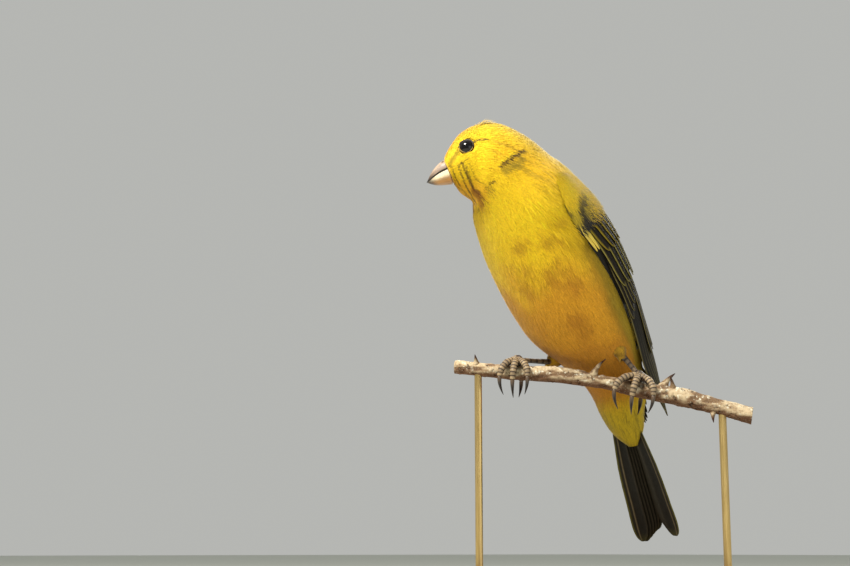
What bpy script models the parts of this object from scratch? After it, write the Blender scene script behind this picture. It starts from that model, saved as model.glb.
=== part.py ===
"""A yellow canary perched on a cut length of thorny branch, on a turned wooden stand, life size.

Everything is modelled in millimetres from the point of the branch's axis that lies under the middle of the
bird, and moved at the end so that the origin lies under the middle of the stand. X points to the bird's
left, -Y the way its breast faces and Z up.
"""

import math

import bpy
import numpy as np

MM = 0.001
GAP = 0.3

# The stand: a disc, two rods, and the height of the branch over the floor.
BRANCH_HEIGHT = 57.0
DISC_RADIUS = 48.0
DISC_HEIGHT = 7.0
DISC_ROUNDING = 1.6
DISC_CHAMFER = 0.6
DISC_SIDES = 64
ROD_RADIUS = 1.0
ROD_SIDES = 12
ROD_HOLE_DEPTH = 4.0
ROD_HOLE_TOP = 0.4
ROD_PLACES = (-24.0, 38.9)

# The branch: its level direction from +X, then its rise and radius at places along it.
BRANCH_TURN = math.radians(40.0)
BRANCH_OFFSET = (1.8, -1.8)
BRANCH_ALONG = (-30.2, -14.7, -2.4, 8.8, 18.3, 28.4, 38.4, 46.3)
BRANCH_RISE = (2.9, 1.1, 0.1, -1.9, -4.2, -6.2, -9.0, -11.4)
BRANCH_RADII = (1.75, 1.95, 2.2, 1.8, 2.15, 2.4, 2.1, 2.3)
BRANCH_SIDES = 14
DISC_MIDDLE = (7.9, 3.4)

# Rings of the bird from the root of the bill to the root of the tail: centre x, y, z, radius to the belly,
# radius to the back, half width, then pitch, turn to the bird's right and roll in degrees.
RINGS = {
    "bill": (-11.9, -31.2, 52.7, 3.4, 3.4, 3.3, -23, 42, 5),
    "face": (-10.8, -30.0, 53.2, 6.1, 6.1, 5.7, -13, 42, 5),
    "lores": (-9.2, -28.1, 54.4, 8.7, 8.7, 7.5, -6, 42, 5),
    "eye": (-7.4, -26.1, 55.2, 10.2, 10.2, 8.4, 5, 42, 5),
    "ear": (-5.6, -24.2, 55.1, 11.0, 11.0, 9.0, 17, 42, 4),
    "crown": (-3.7, -22.1, 53.6, 11.4, 11.4, 9.8, 31, 36, 3),
    "nape": (-2.0, -20.2, 51.4, 12.2, 11.9, 11.0, 43, 26, 1),
    "collar": (0.0, -16.8, 46.6, 14.9, 13.1, 13.0, 51, 12, 0),
    "breast": (0.0, -9.6, 39.3, 17.9, 16.5, 15.7, 52, 3, 0),
    "chest": (0.0, -4.2, 32.2, 18.0, 17.3, 17.1, 53, 0, 0),
    "middle": (0.0, 1.0, 24.6, 17.2, 17.2, 17.2, 54, 0, 0),
    "belly": (0.0, 5.9, 17.0, 15.2, 16.2, 16.2, 55, 0, 0),
    "flank": (0.0, 12.0, 10.0, 11.4, 13.9, 14.2, 57, 0, 0),
    "vent": (0.0, 17.3, 4.7, 10.4, 10.6, 11.2, 62, 0, 0),
    "rump": (0.0, 19.8, -1.4, 8.3, 8.0, 8.3, 70, 0, 0),
    "coverts": (0.0, 20.4, -7.9, 6.0, 5.4, 6.2, 73, 0, 0),
    "covert_tips": (0.0, 22.3, -13.3, 3.6, 3.4, 4.6, 73, 0, 0),
    "covert_end": (0.0, 24.1, -17.2, 0.7, 0.7, 1.3, 73, 0, 0),
}
RING_NAMES = list(RINGS)
RING_SIDES = 30
RINGS_BETWEEN = 2
HEAD_END = "nape"
NECK_END = "collar"
TORSO_END = "rump"

# The body lies this much lower under the folded wings.
WING_BED = 2.2

# The folded wing lies in rings of its own, square to a line from wrist to tip.
WING_PITCH = math.radians(48.2)
WRIST = (15.3, -14.2, 43.0)
WING_BEHIND_WRIST = (-6, 0, 8, 16, 25, 34, 43, 51, 60, 70)
WING_HALF_WIDTH = (14.2, 15.4, 16.5, 17.2, 17.0, 16.1, 13.8, 11.0, 8.2, 5.4)
WING_LOW_EDGE = (20.5, 18.1, 16.5, 16.8, 16.6, 15.6, 14.7, 14.1, 15.0, 17.1)
WING_RIDGE = (28.5, 32.4, 35.2, 35.6, 34.2, 32.0, 29.4, 27.5, 23.6, 19.5)
# The tip of the right wing crosses under the left one: it lies this much nearer the left, and lower.
RIGHT_TIP_ACROSS = 3.2
RIGHT_TIP_DROP = 2.4


def unit(vector):
    return np.asarray(vector, float) / np.linalg.norm(vector)


def smooth_read(knots, places):
    """Catmull-Rom: p = ((2b) + (c-a)f + (2a-5b+4c-d)f^2 + (3b-3c+d-a)f^3) / 2 between knots b and c."""
    knots = np.asarray(knots, float)
    knots = np.concatenate([2 * knots[:1] - knots[1:2], knots, 2 * knots[-1:] - knots[-2:-1]])
    places = np.asarray(places, float)
    start = np.clip(np.floor(places).astype(int), 0, len(knots) - 4)
    f = (places - start).reshape((-1,) + (1,) * (knots.ndim - 1))
    a, b, c, d = (knots[start + step] for step in range(4))
    return (2 * b + (c - a) * f + (2 * a - 5 * b + 4 * c - d) * f**2 + (3 * b - 3 * c + d - a) * f**3) / 2


def read_at(places, stations, values):
    """Smooth reading of values that are given at uneven stations."""
    index = np.interp(places, stations, np.arange(len(stations)))
    return smooth_read(np.asarray(values, float), index)


def smoothstep(low, high, value):
    """3t^2 - 2t^3 with t the share of the way from low to high."""
    t = np.clip((value - low) / (high - low), 0, 1)
    return t * t * (3 - 2 * t)


def mesh_object(name, points, faces):
    """An object of this mesh, turned face side out when its signed volume is negative."""
    mesh = bpy.data.meshes.new(name)
    mesh.from_pydata([tuple(point) for point in np.asarray(points, float)], [], faces)
    obj = bpy.data.objects.new(name, mesh)
    bpy.context.scene.collection.objects.link(obj)
    mesh.calc_loop_triangles()
    corners = np.array([triangle.vertices[:] for triangle in mesh.loop_triangles])
    if np.linalg.det(np.asarray(points, float)[corners]).sum() < 0:
        mesh.flip_normals()
    return obj


def rings_object(name, rings):
    """A closed solid through rings of points, with a fan on its first and its last ring."""
    rings = np.asarray(rings, float)
    count, sides = rings.shape[:2]
    points = np.concatenate([rings.reshape(-1, 3), rings[0].mean(0)[None], rings[-1].mean(0)[None]])
    first, last = count * sides, count * sides + 1
    faces = []
    for side in range(sides):
        after = (side + 1) % sides
        faces.append((first, after, side))
        faces.append((last, (count - 1) * sides + side, (count - 1) * sides + after))
        for ring in range(count - 1):
            low = ring * sides
            faces.append((low + side, low + after, low + sides + after, low + sides + side))
    return mesh_object(name, points, faces)


def tube(name, path, radii, sides=8, up=(0.0, 0.0, 1.0)):
    """A closed round tube along a path, with its flat ends square to it."""
    path = np.asarray(path, float)
    along = np.gradient(path, axis=0)
    along /= np.linalg.norm(along, axis=1, keepdims=True)
    side = np.cross(along, up)
    side /= np.linalg.norm(side, axis=1, keepdims=True)
    over = np.cross(side, along)
    turn = np.linspace(0, 2 * math.pi, sides, endpoint=False)[None, :, None]
    radii = np.broadcast_to(radii, len(path))[:, None, None]
    rings = path[:, None] + radii * (np.cos(turn) * side[:, None] + np.sin(turn) * over[:, None])
    return rings_object(name, rings)


def ball(name, centre, radii, axes=np.eye(3), bands=8, sides=14):
    """An ellipsoid with its three radii along the rows of axes, its poles on the third."""
    lift = np.linspace(-math.pi / 2, math.pi / 2, bands + 1)[1:-1][:, None]
    turn = np.linspace(0, 2 * math.pi, sides, endpoint=False)[None]
    local = np.stack([np.cos(lift) * np.cos(turn), np.cos(lift) * np.sin(turn), np.sin(lift) + 0 * turn], -1)
    points = local * np.asarray(radii) @ axes + np.asarray(centre)
    obj = rings_object(name, points)
    pole = np.asarray(axes)[2] * radii[2]
    obj.data.vertices[-2].co = np.asarray(centre) - pole
    obj.data.vertices[-1].co = np.asarray(centre) + pole
    return obj


def apply_boolean(target, others, operation, solver="EXACT"):
    """Joins the others to the target or cuts them from it, and removes them."""
    group = bpy.data.collections.new("others")
    bpy.context.scene.collection.children.link(group)
    for other in others:
        group.objects.link(other)
    modifier = target.modifiers.new("boolean", "BOOLEAN")
    modifier.operation = operation
    modifier.solver = solver
    modifier.operand_type = "COLLECTION"
    modifier.collection = group
    bpy.context.view_layer.update()
    evaluated = target.evaluated_get(bpy.context.evaluated_depsgraph_get())
    mesh = bpy.data.meshes.new_from_object(evaluated)
    target.modifiers.clear()
    target.data = mesh
    for other in others:
        bpy.data.objects.remove(other)
    bpy.data.collections.remove(group)
    keep_largest(target)
    return target


def keep_largest(obj):
    """Keeps the closed surface with the largest volume, faces that share an edge counted as joined."""
    mesh = obj.data
    points = np.array([vertex.co[:] for vertex in mesh.vertices])
    faces = [tuple(face.vertices) for face in mesh.polygons]
    parent = list(range(len(faces)))

    def root(index):
        while parent[index] != index:
            parent[index] = parent[parent[index]]
            index = parent[index]
        return index

    first_face = {}
    for index, face in enumerate(faces):
        for start, end in zip(face, face[1:] + face[:1]):
            edge = (min(start, end), max(start, end))
            parent[root(index)] = root(first_face.setdefault(edge, index))
    volumes = {}
    for index, face in enumerate(faces):
        label = root(index)
        corners = points[list(face)]
        fan = [np.linalg.det((corners[0], corners[i], corners[i + 1])) for i in range(1, len(face) - 1)]
        volumes[label] = volumes.get(label, 0.0) + sum(fan)
    largest = max(volumes, key=lambda label: abs(volumes[label]))
    kept_faces = [face for index, face in enumerate(faces) if root(index) == largest]
    used = sorted({corner for face in kept_faces for corner in face})
    place = {old: new for new, old in enumerate(used)}
    kept = bpy.data.meshes.new(obj.name)
    kept.from_pydata([tuple(points[old]) for old in used], [], [[place[i] for i in face] for face in kept_faces])
    obj.data = kept


def finish(obj, colour, roughness, metallic=0.0):
    """Moves the mesh to the stand's frame in metres, smooths its shading and gives it its material."""
    mesh = obj.data
    points = np.array([vertex.co[:] for vertex in mesh.vertices])
    points += (-DISC_MIDDLE[0], -DISC_MIDDLE[1], BRANCH_HEIGHT)
    mesh.vertices.foreach_set("co", (points * MM).ravel())
    mesh.update()
    mesh.shade_smooth()
    mesh.set_sharp_from_angle(angle=math.radians(35))
    material = bpy.data.materials.new(obj.name)
    material.use_nodes = True
    shader = material.node_tree.nodes["Principled BSDF"]
    shader.inputs["Base Color"].default_value = (*colour, 1.0)
    shader.inputs["Roughness"].default_value = roughness
    shader.inputs["Metallic"].default_value = metallic
    mesh.materials.clear()
    mesh.materials.append(material)
    return obj


def ring_values(place):
    """The ring's numbers at a place counted in rings from the bill."""
    return smooth_read([RINGS[name] for name in RING_NAMES], np.atleast_1d(place))


def ring_axes(values):
    """Tailward, backward-up and leftward directions of each ring."""
    pitch, turn, roll = (np.radians(values[:, column])[:, None] for column in (6, 7, 8))
    zero = np.zeros_like(turn)
    rear = np.concatenate([np.sin(turn), np.cos(turn), zero], 1)
    level = np.concatenate([np.cos(turn), -np.sin(turn), zero], 1)
    up = np.array([0.0, 0.0, 1.0])
    tailward = np.cos(pitch) * rear - np.sin(pitch) * up
    dorsal = np.sin(pitch) * rear + np.cos(pitch) * up
    return tailward, np.cos(roll) * dorsal - np.sin(roll) * level, np.cos(roll) * level + np.sin(roll) * dorsal


def body_rings(places, grow=0.0):
    """Rings of the bird's flesh at these places, with the beds of the wings pressed in."""
    places = np.asarray(places, float)
    values = ring_values(places)
    _, dorsal, left = ring_axes(values)
    angle = np.linspace(0, 2 * math.pi, RING_SIDES, endpoint=False)[None]
    from_belly = np.degrees(np.arccos(np.cos(angle)))
    first = RING_NAMES.index("collar")
    last = RING_NAMES.index("rump")
    under_wing = smoothstep(first - 0.2, first + 0.8, places) * (1 - smoothstep(last - 0.7, last + 0.3, places))
    bed = WING_BED * smoothstep(64, 84, from_belly) * under_wing[:, None]
    downward = values[:, 3, None]
    upward = values[:, 4, None]
    radius = np.where(np.cos(angle) > 0, downward, upward) + grow - bed
    wide = values[:, 5, None] + grow - bed
    return (
        values[:, None, :3]
        - (radius * np.cos(angle))[..., None] * dorsal[:, None]
        + (wide * np.sin(angle))[..., None] * left[:, None]
    )


def flesh(name, start, end, grow=0.0, trim=GAP / 2):
    """A stretch of the bird between two rings, its ends drawn in by half the gap."""
    first, last = RING_NAMES.index(start), RING_NAMES.index(end)
    places = np.linspace(first, last, (last - first) * RINGS_BETWEEN + 1)
    rings = body_rings(places, grow)
    tailward, _, _ = ring_axes(ring_values([first, last]))
    if first:
        rings[0] += tailward[0] * trim
    if last < len(RING_NAMES) - 1:
        rings[-1] -= tailward[1] * trim
    return rings_object(name, rings)


def wing_points(side, behind, angle, depth):
    """Points of a wing: distance behind the wrist, angle up from its low edge, depth under its face."""
    behind, angle, depth = np.broadcast_arrays(behind, angle, depth)
    shape = behind.shape
    flat = behind.ravel()
    wide, low, ridge = (
        read_at(flat, WING_BEHIND_WRIST, row).reshape(shape) for row in (WING_HALF_WIDTH, WING_LOW_EDGE, WING_RIDGE)
    )
    tall = ridge - low
    normal = np.stack([np.cos(angle) * tall, np.sin(angle) * wide])
    normal /= np.linalg.norm(normal, axis=0)
    sideways = wide * np.cos(angle) - depth * normal[0]
    height = low + tall * np.sin(angle) - depth * normal[1]
    if side < 0:
        bend = np.clip((behind - 40) / 30, 0, None) ** 2
        height = height - RIGHT_TIP_DROP * bend
        sideways = RIGHT_TIP_ACROSS * bend - sideways
    rearward = np.array([0.0, math.cos(WING_PITCH), -math.sin(WING_PITCH)])
    upward = np.array([0.0, math.sin(WING_PITCH), math.cos(WING_PITCH)])
    start = np.dot(WRIST, rearward)
    return (
        sideways[..., None] * np.array([1.0, 0.0, 0.0])
        + (behind + start)[..., None] * rearward
        + height[..., None] * upward
    )


def vane(rings):
    """A thin closed feather from rings of four corners, both of its faces split into triangles alike."""
    rings = np.asarray(rings, float)
    count = len(rings)
    faces = [(0, 2, 1), (0, 3, 2)]
    for ring in range(count - 1):
        low, high = 4 * ring, 4 * ring + 4
        faces += [(low, low + 1, high + 1), (low, high + 1, high)]
        faces += [(low + 1, low + 2, high + 2), (low + 1, high + 2, high + 1)]
        faces += [(low + 2, low + 3, high + 2), (low + 3, high + 3, high + 2)]
        faces += [(low + 3, low, high), (low + 3, high, high + 3)]
    last = 4 * count - 4
    faces += [(last, last + 1, last + 2), (last, last + 2, last + 3)]
    return mesh_object("vane", rings.reshape(-1, 3), faces)


# Share of a feather's length at its rings, and the share of its full width there.
VANE_PLACES = np.array([0.0, 0.45, 0.8, 0.95, 1.0])
VANE_WIDTHS = np.array([0.85, 1.0, 0.97, 0.62, 0.16])
VANE_THICKNESS = 0.58


def wing_feather(side, start, end, root_angle, tip_angle, width, depths, tilt=0.75, point=0.35):
    """A feather of the wing from its root to its tip, its far edge tucked under the next one."""
    behind = start + (end - start) * VANE_PLACES
    wide, low, ridge = (read_at(behind, WING_BEHIND_WRIST, row) for row in (WING_HALF_WIDTH, WING_LOW_EDGE, WING_RIDGE))
    span = width / (0.5 * (wide + ridge - low))
    near = root_angle + (tip_angle - root_angle) * VANE_PLACES + point * span * (1 - VANE_WIDTHS)
    far = near + span * VANE_WIDTHS
    face = depths[0] + (depths[1] - depths[0]) * VANE_PLACES
    corners = [
        wing_points(side, behind, near, face),
        wing_points(side, behind, far, face + tilt * VANE_WIDTHS),
        wing_points(side, behind, far, face + tilt * VANE_WIDTHS + VANE_THICKNESS),
        wing_points(side, behind, near, face + VANE_THICKNESS),
    ]
    return vane(np.stack(corners, 1))


# Tips of the primaries from the outermost inward, as distances behind the wrist.
PRIMARY_TIPS = (68.6, 70.0, 69.4, 67.8, 65.0, 61.8, 58.6, 55.6, 53.0)
SECONDARIES = 6
TERTIAL_TIPS = (49.0, 44.5, 39.0)
GREATER_COVERTS = 8


def wing_feathers(side):
    """Primaries, secondaries, tertials and the row of greater coverts."""
    feathers = []
    for index, end in enumerate(PRIMARY_TIPS):
        root_angle, tip_angle = 0.05 * index, 0.12 + 0.126 * index
        feathers.append(wing_feather(side, 24, end, root_angle, tip_angle, 4.6, (1.25, 0.3)))
    for index in range(SECONDARIES):
        root_angle, tip_angle = 0.38 + 0.11 * index, 0.42 + 0.13 * index
        feathers.append(wing_feather(side, 22, 51.3 - 0.5 * index, root_angle, tip_angle, 5.2, (1.2, 0.1)))
    for index, end in enumerate(TERTIAL_TIPS):
        angle = 1.02 + 0.13 * index
        feathers.append(wing_feather(side, 15, end, angle, angle, 6.0 - 0.9 * index, (0.8, -0.1)))
    for index in range(GREATER_COVERTS):
        angle = 0.03 + 0.15 * index
        feathers.append(wing_feather(side, 9, 28 + 0.3 * index, angle, angle, 3.9, (0.7, 0.2), 0.6, 0.5))
    return feathers


def wing(name, side):
    """The folded wing: a core half way out and its feathers in tiers, cut to the body with the gap."""
    behind = np.array([-4, -2, 1, 5, 9, 13, 18, 23, 28, 33, 37], float)
    low_angle = read_at(behind, (-4, 1, 10, 37), (0.25, 0.0, -0.08, 0.0))
    high_angle = read_at(behind, (-4, 1, 10, 37), (0.6, 1.2, 1.45, 1.48))
    top = read_at(behind, (-4, 5, 9, 14, 28, 37), (0.0, 0.0, 0.1, 0.7, 1.2, 1.7))
    thick = read_at(behind, (-4, 5, 37), (2.6, 3.2, 3.2))
    across = np.linspace(0, 1, 8)[None]
    angle = low_angle[:, None] + (high_angle - low_angle)[:, None] * across
    bulge = 4 * across * (1 - across)
    outer = wing_points(side, behind[:, None], angle, top[:, None] + 0.5 * (1 - bulge**0.4))
    inner = wing_points(side, behind[:, None], angle, thick[:, None] * (0.45 + 0.55 * bulge**0.3))
    core = rings_object(name, np.concatenate([outer, inner[:, ::-1]], 1))
    apply_boolean(core, wing_feathers(side), "UNION", "MANIFOLD")
    cutter = flesh("cutter", "nape", "covert_end", GAP, 0.0)
    return apply_boolean(core, [cutter], "DIFFERENCE", "MANIFOLD")


# The tail: its axis, the places along it counted from the root, and the fan of its feathers.
TAIL_TIP = (0.0, 34.2, -41.2)
TAIL_LINE = (0.0, 0.37, -0.929)
TAIL_BACK = (0.0, 0.929, 0.37)
TAIL_LENGTH = 50.0


def tail_points(along, aside, over):
    """Points of the tail: distance from its root, distance to the bird's left, height toward the back."""
    along, aside, over = np.broadcast_arrays(along, aside, over)
    root = np.array(TAIL_TIP) - TAIL_LENGTH * np.array(TAIL_LINE)
    return (
        root
        + along[..., None] * np.array(TAIL_LINE)
        + aside[..., None] * np.array([1.0, 0.0, 0.0])
        + over[..., None] * np.array(TAIL_BACK)
    )


# Tips of the tail feathers from the middle pair outward, as distances from the root.
RECTRIX_TIPS = (47.8, 48.3, 49.0, 49.8, 50.5, 50.4)
RECTRIX_HALF_WIDTH = 2.6
RECTRIX_WIDTHS = np.array([0.47, 0.9, 0.98, 0.82, 0.42])
RECTRIX_TIP_OUT = 0.4
RECTRIX_STEP = 0.4
# The right half reaches this much further than the left, and the roots lie this much nearer the right.
TAIL_UNEVEN = 0.7
TAIL_LEAN = 0.5


def rectrix(side, index):
    """A tail feather: the middle pair lies on top and each pair further out lies lower."""
    along = 13 + (RECTRIX_TIPS[index] - side * TAIL_UNEVEN - 13) * VANE_PLACES
    lean = TAIL_LEAN * (1 - VANE_PLACES)
    middle = read_at(along, (13, 20, 32, 42, 51), (0.4, 0.67, 0.94, 1.04, 1.12)) * (1.2 + 0.78 * index)
    middle += RECTRIX_TIP_OUT * VANE_PLACES**8
    half = RECTRIX_HALF_WIDTH * RECTRIX_WIDTHS
    over = (1.4 if side > 0 else 1.18) - RECTRIX_STEP * index
    tilt = 0.35 * RECTRIX_WIDTHS
    corners = [
        tail_points(along, side * (middle - half) - lean, over + tilt),
        tail_points(along, side * (middle + half) - lean, over - tilt),
        tail_points(along, side * (middle + half) - lean, over - tilt - VANE_THICKNESS),
        tail_points(along, side * (middle - half) - lean, over + tilt - VANE_THICKNESS),
    ]
    return vane(np.stack(corners, 1))


def tail(name):
    """The root of the tail with its coverts, and twelve feathers."""
    root = flesh(name, TORSO_END, "covert_end")
    feathers = [rectrix(side, index) for index in range(len(RECTRIX_TIPS)) for side in (1, -1)]
    return apply_boolean(root, feathers, "UNION", "MANIFOLD")


# The bill, in a plane that holds its middle: distance forward of its root and height over the branch.
BILL_ROOT = (-11.9, -31.2, 52.7)
CULMEN = ((1.3, 55.9), (2.9, 54.6), (4.45, 52.6), (5.8, 49.7))
MOUTH = ((0.0, 52.6), (1.9, 51.9), (3.8, 50.9), (5.6, 49.85))
GONYS = ((-1.3, 49.55), (0.9, 49.3), (3.2, 49.2), (5.1, 49.6))
BILL_HALF_WIDTHS = (3.2, 2.6, 1.75, 0.35)
MOUTH_CORNER = (-0.9, 53.0)


def head_axes():
    """Forward, leftward and upward directions of the head, with its roll."""
    _, _, left = ring_axes(ring_values(RING_NAMES.index("face")))
    turn = math.radians(RINGS["face"][7])
    forward = np.array([-math.sin(turn), -math.cos(turn), 0.0])
    return forward, left[0], np.cross(forward, left[0])


def bill_frame(points, aside):
    """Points given by distance forward and height, then moved aside."""
    forward, left, up = head_axes()
    points = np.asarray(points, float) - (0.0, BILL_ROOT[2])
    return np.array(BILL_ROOT) + points[..., :1] * forward + points[..., 1:] * up + np.asarray(aside)[..., None] * left


def mandible(name, ridge):
    """One half of the bill: its flat side on the line of the mouth, its other side a half ellipse."""
    steps = np.linspace(0.14, 3, 8)
    mouth = smooth_read(MOUTH, steps)
    outline = smooth_read(ridge, steps)
    wide = smooth_read(BILL_HALF_WIDTHS, steps)
    part = (outline - mouth) / np.linalg.norm(outline - mouth, axis=1, keepdims=True)
    mouth = mouth + part * GAP / 2
    turn = np.linspace(0, math.pi, 9)
    centre = mouth[:, None] + (outline - mouth)[:, None] * (np.sin(turn) ** 0.9)[None, :, None]
    arch = bill_frame(centre, wide[:, None] * np.cos(turn)[None])
    middle = bill_frame(mouth[:, None], np.zeros((len(steps), 1)))
    return rings_object(name, np.concatenate([arch, middle], 1))


# The nostrils: forward and up in the bill's plane, aside of it, with radius and depth.
NOSTRIL = (1.45, 54.9)
NOSTRIL_ASIDE = 2.0
NOSTRIL_RADIUS = 0.38
NOSTRIL_DEPTH = 0.7


def upper_bill(name):
    """The upper half of the bill with its two nostrils."""
    bill = mandible(name, CULMEN)
    holes = []
    for side in (1, -1):
        path = bill_frame(np.array([NOSTRIL, NOSTRIL]), side * np.array([NOSTRIL_ASIDE + 1, NOSTRIL_ASIDE - NOSTRIL_DEPTH]))
        holes.append(tube("nostril", path, NOSTRIL_RADIUS, 8))
    return apply_boolean(bill, holes, "DIFFERENCE")


# The eyes, by where they show on the side of the head.
EYE_FORWARD = 1.6
EYE_HEIGHT = 56.9
EYE_ASIDE = 6.0
EYE_RADIUS = 2.2
LID_RADIUS = 1.95
LID_THICKNESS = 0.42
LID_OUT = 1.25
LID_STEPS = 16
LID_SIDES = 6


def eye_centre(side):
    forward, left, _ = head_axes()
    base = np.array([RINGS["eye"][0], RINGS["eye"][1], EYE_HEIGHT])
    return base + EYE_FORWARD * forward + side * EYE_ASIDE * left


def eye_axes(side):
    """Rows: two directions across the eye and the one it looks along, out and a little forward."""
    forward, left, up = head_axes()
    look = unit(side * left + 0.22 * forward + 0.12 * up)
    across = unit(np.cross(up, look))
    return np.array([across, np.cross(look, across), look])


def lid_ring(side):
    """A ring of skin round the eye."""
    axes = eye_axes(side)
    centre = eye_centre(side) + axes[2] * LID_OUT
    turn = np.linspace(0, 2 * math.pi, LID_STEPS, endpoint=False)[:, None, None]
    tube_turn = np.linspace(0, 2 * math.pi, LID_SIDES, endpoint=False)[None, :, None]
    radius = LID_RADIUS + LID_THICKNESS * np.cos(tube_turn)
    points = centre + radius * (np.cos(turn) * axes[0] + np.sin(turn) * axes[1])
    points = points + LID_THICKNESS * np.sin(tube_turn) * axes[2]
    faces = []
    for ring in range(LID_STEPS):
        here, after = ring * LID_SIDES, (ring + 1) % LID_STEPS * LID_SIDES
        for corner in range(LID_SIDES):
            beside = (corner + 1) % LID_SIDES
            faces.append((here + corner, after + corner, after + beside, here + beside))
    return mesh_object("lid", points.reshape(-1, 3), faces)


def head(name):
    """The head with the rings of its lids, its eye sockets and the corners of its mouth."""
    skull = flesh(name, "bill", HEAD_END)
    apply_boolean(skull, [lid_ring(1), lid_ring(-1)], "UNION")
    sockets = [ball("socket", eye_centre(side), [EYE_RADIUS + GAP] * 3, eye_axes(side)) for side in (1, -1)]
    corners = []
    for side in (1, -1):
        line = np.array([MOUTH[0], MOUTH_CORNER])
        start = bill_frame(line[0] + (0.5, -0.2), side * 3.3)
        end = bill_frame(line[1] - (0.6, -0.3), side * 4.6)
        path = start + (end - start) * np.linspace(0, 1, 4)[:, None]
        corners.append(tube("corner", path, [0.35, 0.4, 0.35, 0.1], 6))
    return apply_boolean(skull, sockets + corners, "DIFFERENCE")


def branch_axis(along):
    """Points of the branch's axis at distances along its level direction."""
    along = np.asarray(along, float)
    direction = np.array([math.cos(BRANCH_TURN), math.sin(BRANCH_TURN), 0.0])
    rise = read_at(along.ravel(), BRANCH_ALONG, BRANCH_RISE).reshape(along.shape)
    return np.array([*BRANCH_OFFSET, 0.0]) + along[..., None] * direction + rise[..., None] * (0.0, 0.0, 1.0)


def branch_radius(along):
    along = np.asarray(along, float)
    return read_at(along.ravel(), BRANCH_ALONG, BRANCH_RADII).reshape(along.shape)


def branch_axes(along):
    """Along, up and front directions of the branch at one place."""
    step = 0.5
    forward = unit(branch_axis(along + step) - branch_axis(along - step))
    front = unit(np.cross(forward, (0.0, 0.0, 1.0)))
    return forward, np.cross(front, forward), front


# Thorns and buds: place along, turn from the top toward the front in degrees, length, width, lean along.
THORNS = (
    (6.1, 25, 4.6, 1.4, 0.6),
    (23.8, -15, 4.2, 1.9, 0.6),
    (26.4, 25, 3.0, 1.5, -0.4),
    (29.4, -50, 2.6, 1.6, 0.3),
    (-24.5, 30, 2.4, 1.4, -0.2),
    (37.0, 160, 2.8, 1.4, 0.3),
)


def branch(name):
    """The branch with its knots and thorns, and holes under it for the rods."""
    along = np.linspace(BRANCH_ALONG[0], BRANCH_ALONG[-1], 33)
    solid = tube(name, branch_axis(along), branch_radius(along), BRANCH_SIDES)
    spurs = []
    for place, turn, length, width, lean in THORNS:
        forward, up, front = branch_axes(place)
        out = math.cos(math.radians(turn)) * up + math.sin(math.radians(turn)) * front
        root = branch_axis(place) + out * 0.3 * branch_radius(place)
        reach = np.linspace(0, 1, 5)[:, None]
        path = root + (length + 1.2) * reach * out + lean * length * reach**2 * forward
        spurs.append(tube("thorn", path, [width, 0.75 * width, 0.42 * width, 0.24 * width, 0.1], 7, forward))
    apply_boolean(solid, spurs, "UNION")
    holes = []
    for place in ROD_PLACES:
        top = branch_axis(place)
        path = np.array([top + (0, 0, ROD_HOLE_TOP), top - (0, 0, 8)])
        holes.append(tube("hole", path, ROD_RADIUS + GAP, ROD_SIDES, (1.0, 0.0, 0.0)))
    return apply_boolean(solid, holes, "DIFFERENCE")


def rod(name, place):
    """A rod from its hole in the disc to its hole in the branch."""
    top = branch_axis(place) + (0, 0, ROD_HOLE_TOP - GAP)
    foot = np.array([top[0], top[1], -BRANCH_HEIGHT + DISC_HEIGHT - ROD_HOLE_DEPTH + GAP])
    return tube(name, np.linspace(foot, top, 3), ROD_RADIUS, ROD_SIDES, (1.0, 0.0, 0.0))


def disc(name):
    """The turned disc with rounded edges and two holes."""
    turn = np.linspace(0, math.pi / 2, 5)
    low = -BRANCH_HEIGHT
    high = low + DISC_HEIGHT
    inner = DISC_RADIUS - DISC_ROUNDING
    profile = [(inner, low), (DISC_RADIUS - DISC_CHAMFER, low), (DISC_RADIUS, low + DISC_CHAMFER)]
    profile += [
        (inner + DISC_ROUNDING * math.cos(a), high - DISC_ROUNDING + DISC_ROUNDING * math.sin(a)) for a in turn
    ]
    around = np.linspace(0, 2 * math.pi, DISC_SIDES, endpoint=False)
    rings = [
        np.stack([DISC_MIDDLE[0] + r * np.cos(around), DISC_MIDDLE[1] + r * np.sin(around), 0 * around + z], 1)
        for r, z in profile
    ]
    solid = rings_object(name, rings)
    holes = []
    for place in ROD_PLACES:
        x, y, _ = branch_axis(place)
        path = np.array([(x, y, high - ROD_HOLE_DEPTH), (x, y, high + 2)])
        holes.append(tube("hole", path, ROD_RADIUS + GAP, ROD_SIDES, (1.0, 0.0, 0.0)))
    return apply_boolean(solid, holes, "DIFFERENCE")


# The legs: side, where the shank leaves the feathers, where it meets the foot, and the foot's place.
LEGS = {
    "left": {"hip": (9.0, 7.5, 10.5), "ankle": (11.6, 7.9, 4.6), "foot_along": 17.4, "spread": 1.0},
    "right": {"hip": (-8.5, 7.5, 10.0), "ankle": (-11.2, 3.4, 3.6), "foot_along": -13.8, "spread": 0.75},
}
SHANK_RADIUS = 0.75
TOE_RADIUS = 0.95
PAD_HEIGHT = 2.8
SHANK_DEPTH = 0.9
# Toes: spread along the branch, start and end of the bend from the top toward the front in degrees.
TOES = {
    "hind": (1.2, -12, -112),
    "inner": (-5.0, 8, 112),
    "middle": (-0.5, 8, 120),
    "outer": (4.6, 8, 106),
}
# A toe's thickness at its joints and between them, as shares of its radius.
TOE_SWELLS = (1.0, 1.08, 0.96, 1.08, 0.92, 1.0, 0.84, 0.7)
TOE_LIFT = 1.0
CLAW_LENGTH = 4.3
CLAW_RADIUS = 0.66
CLAW_DROOP = 0.9
CLAW_HOOK = 0.5
CLAW_LEAN = 0.07


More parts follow.
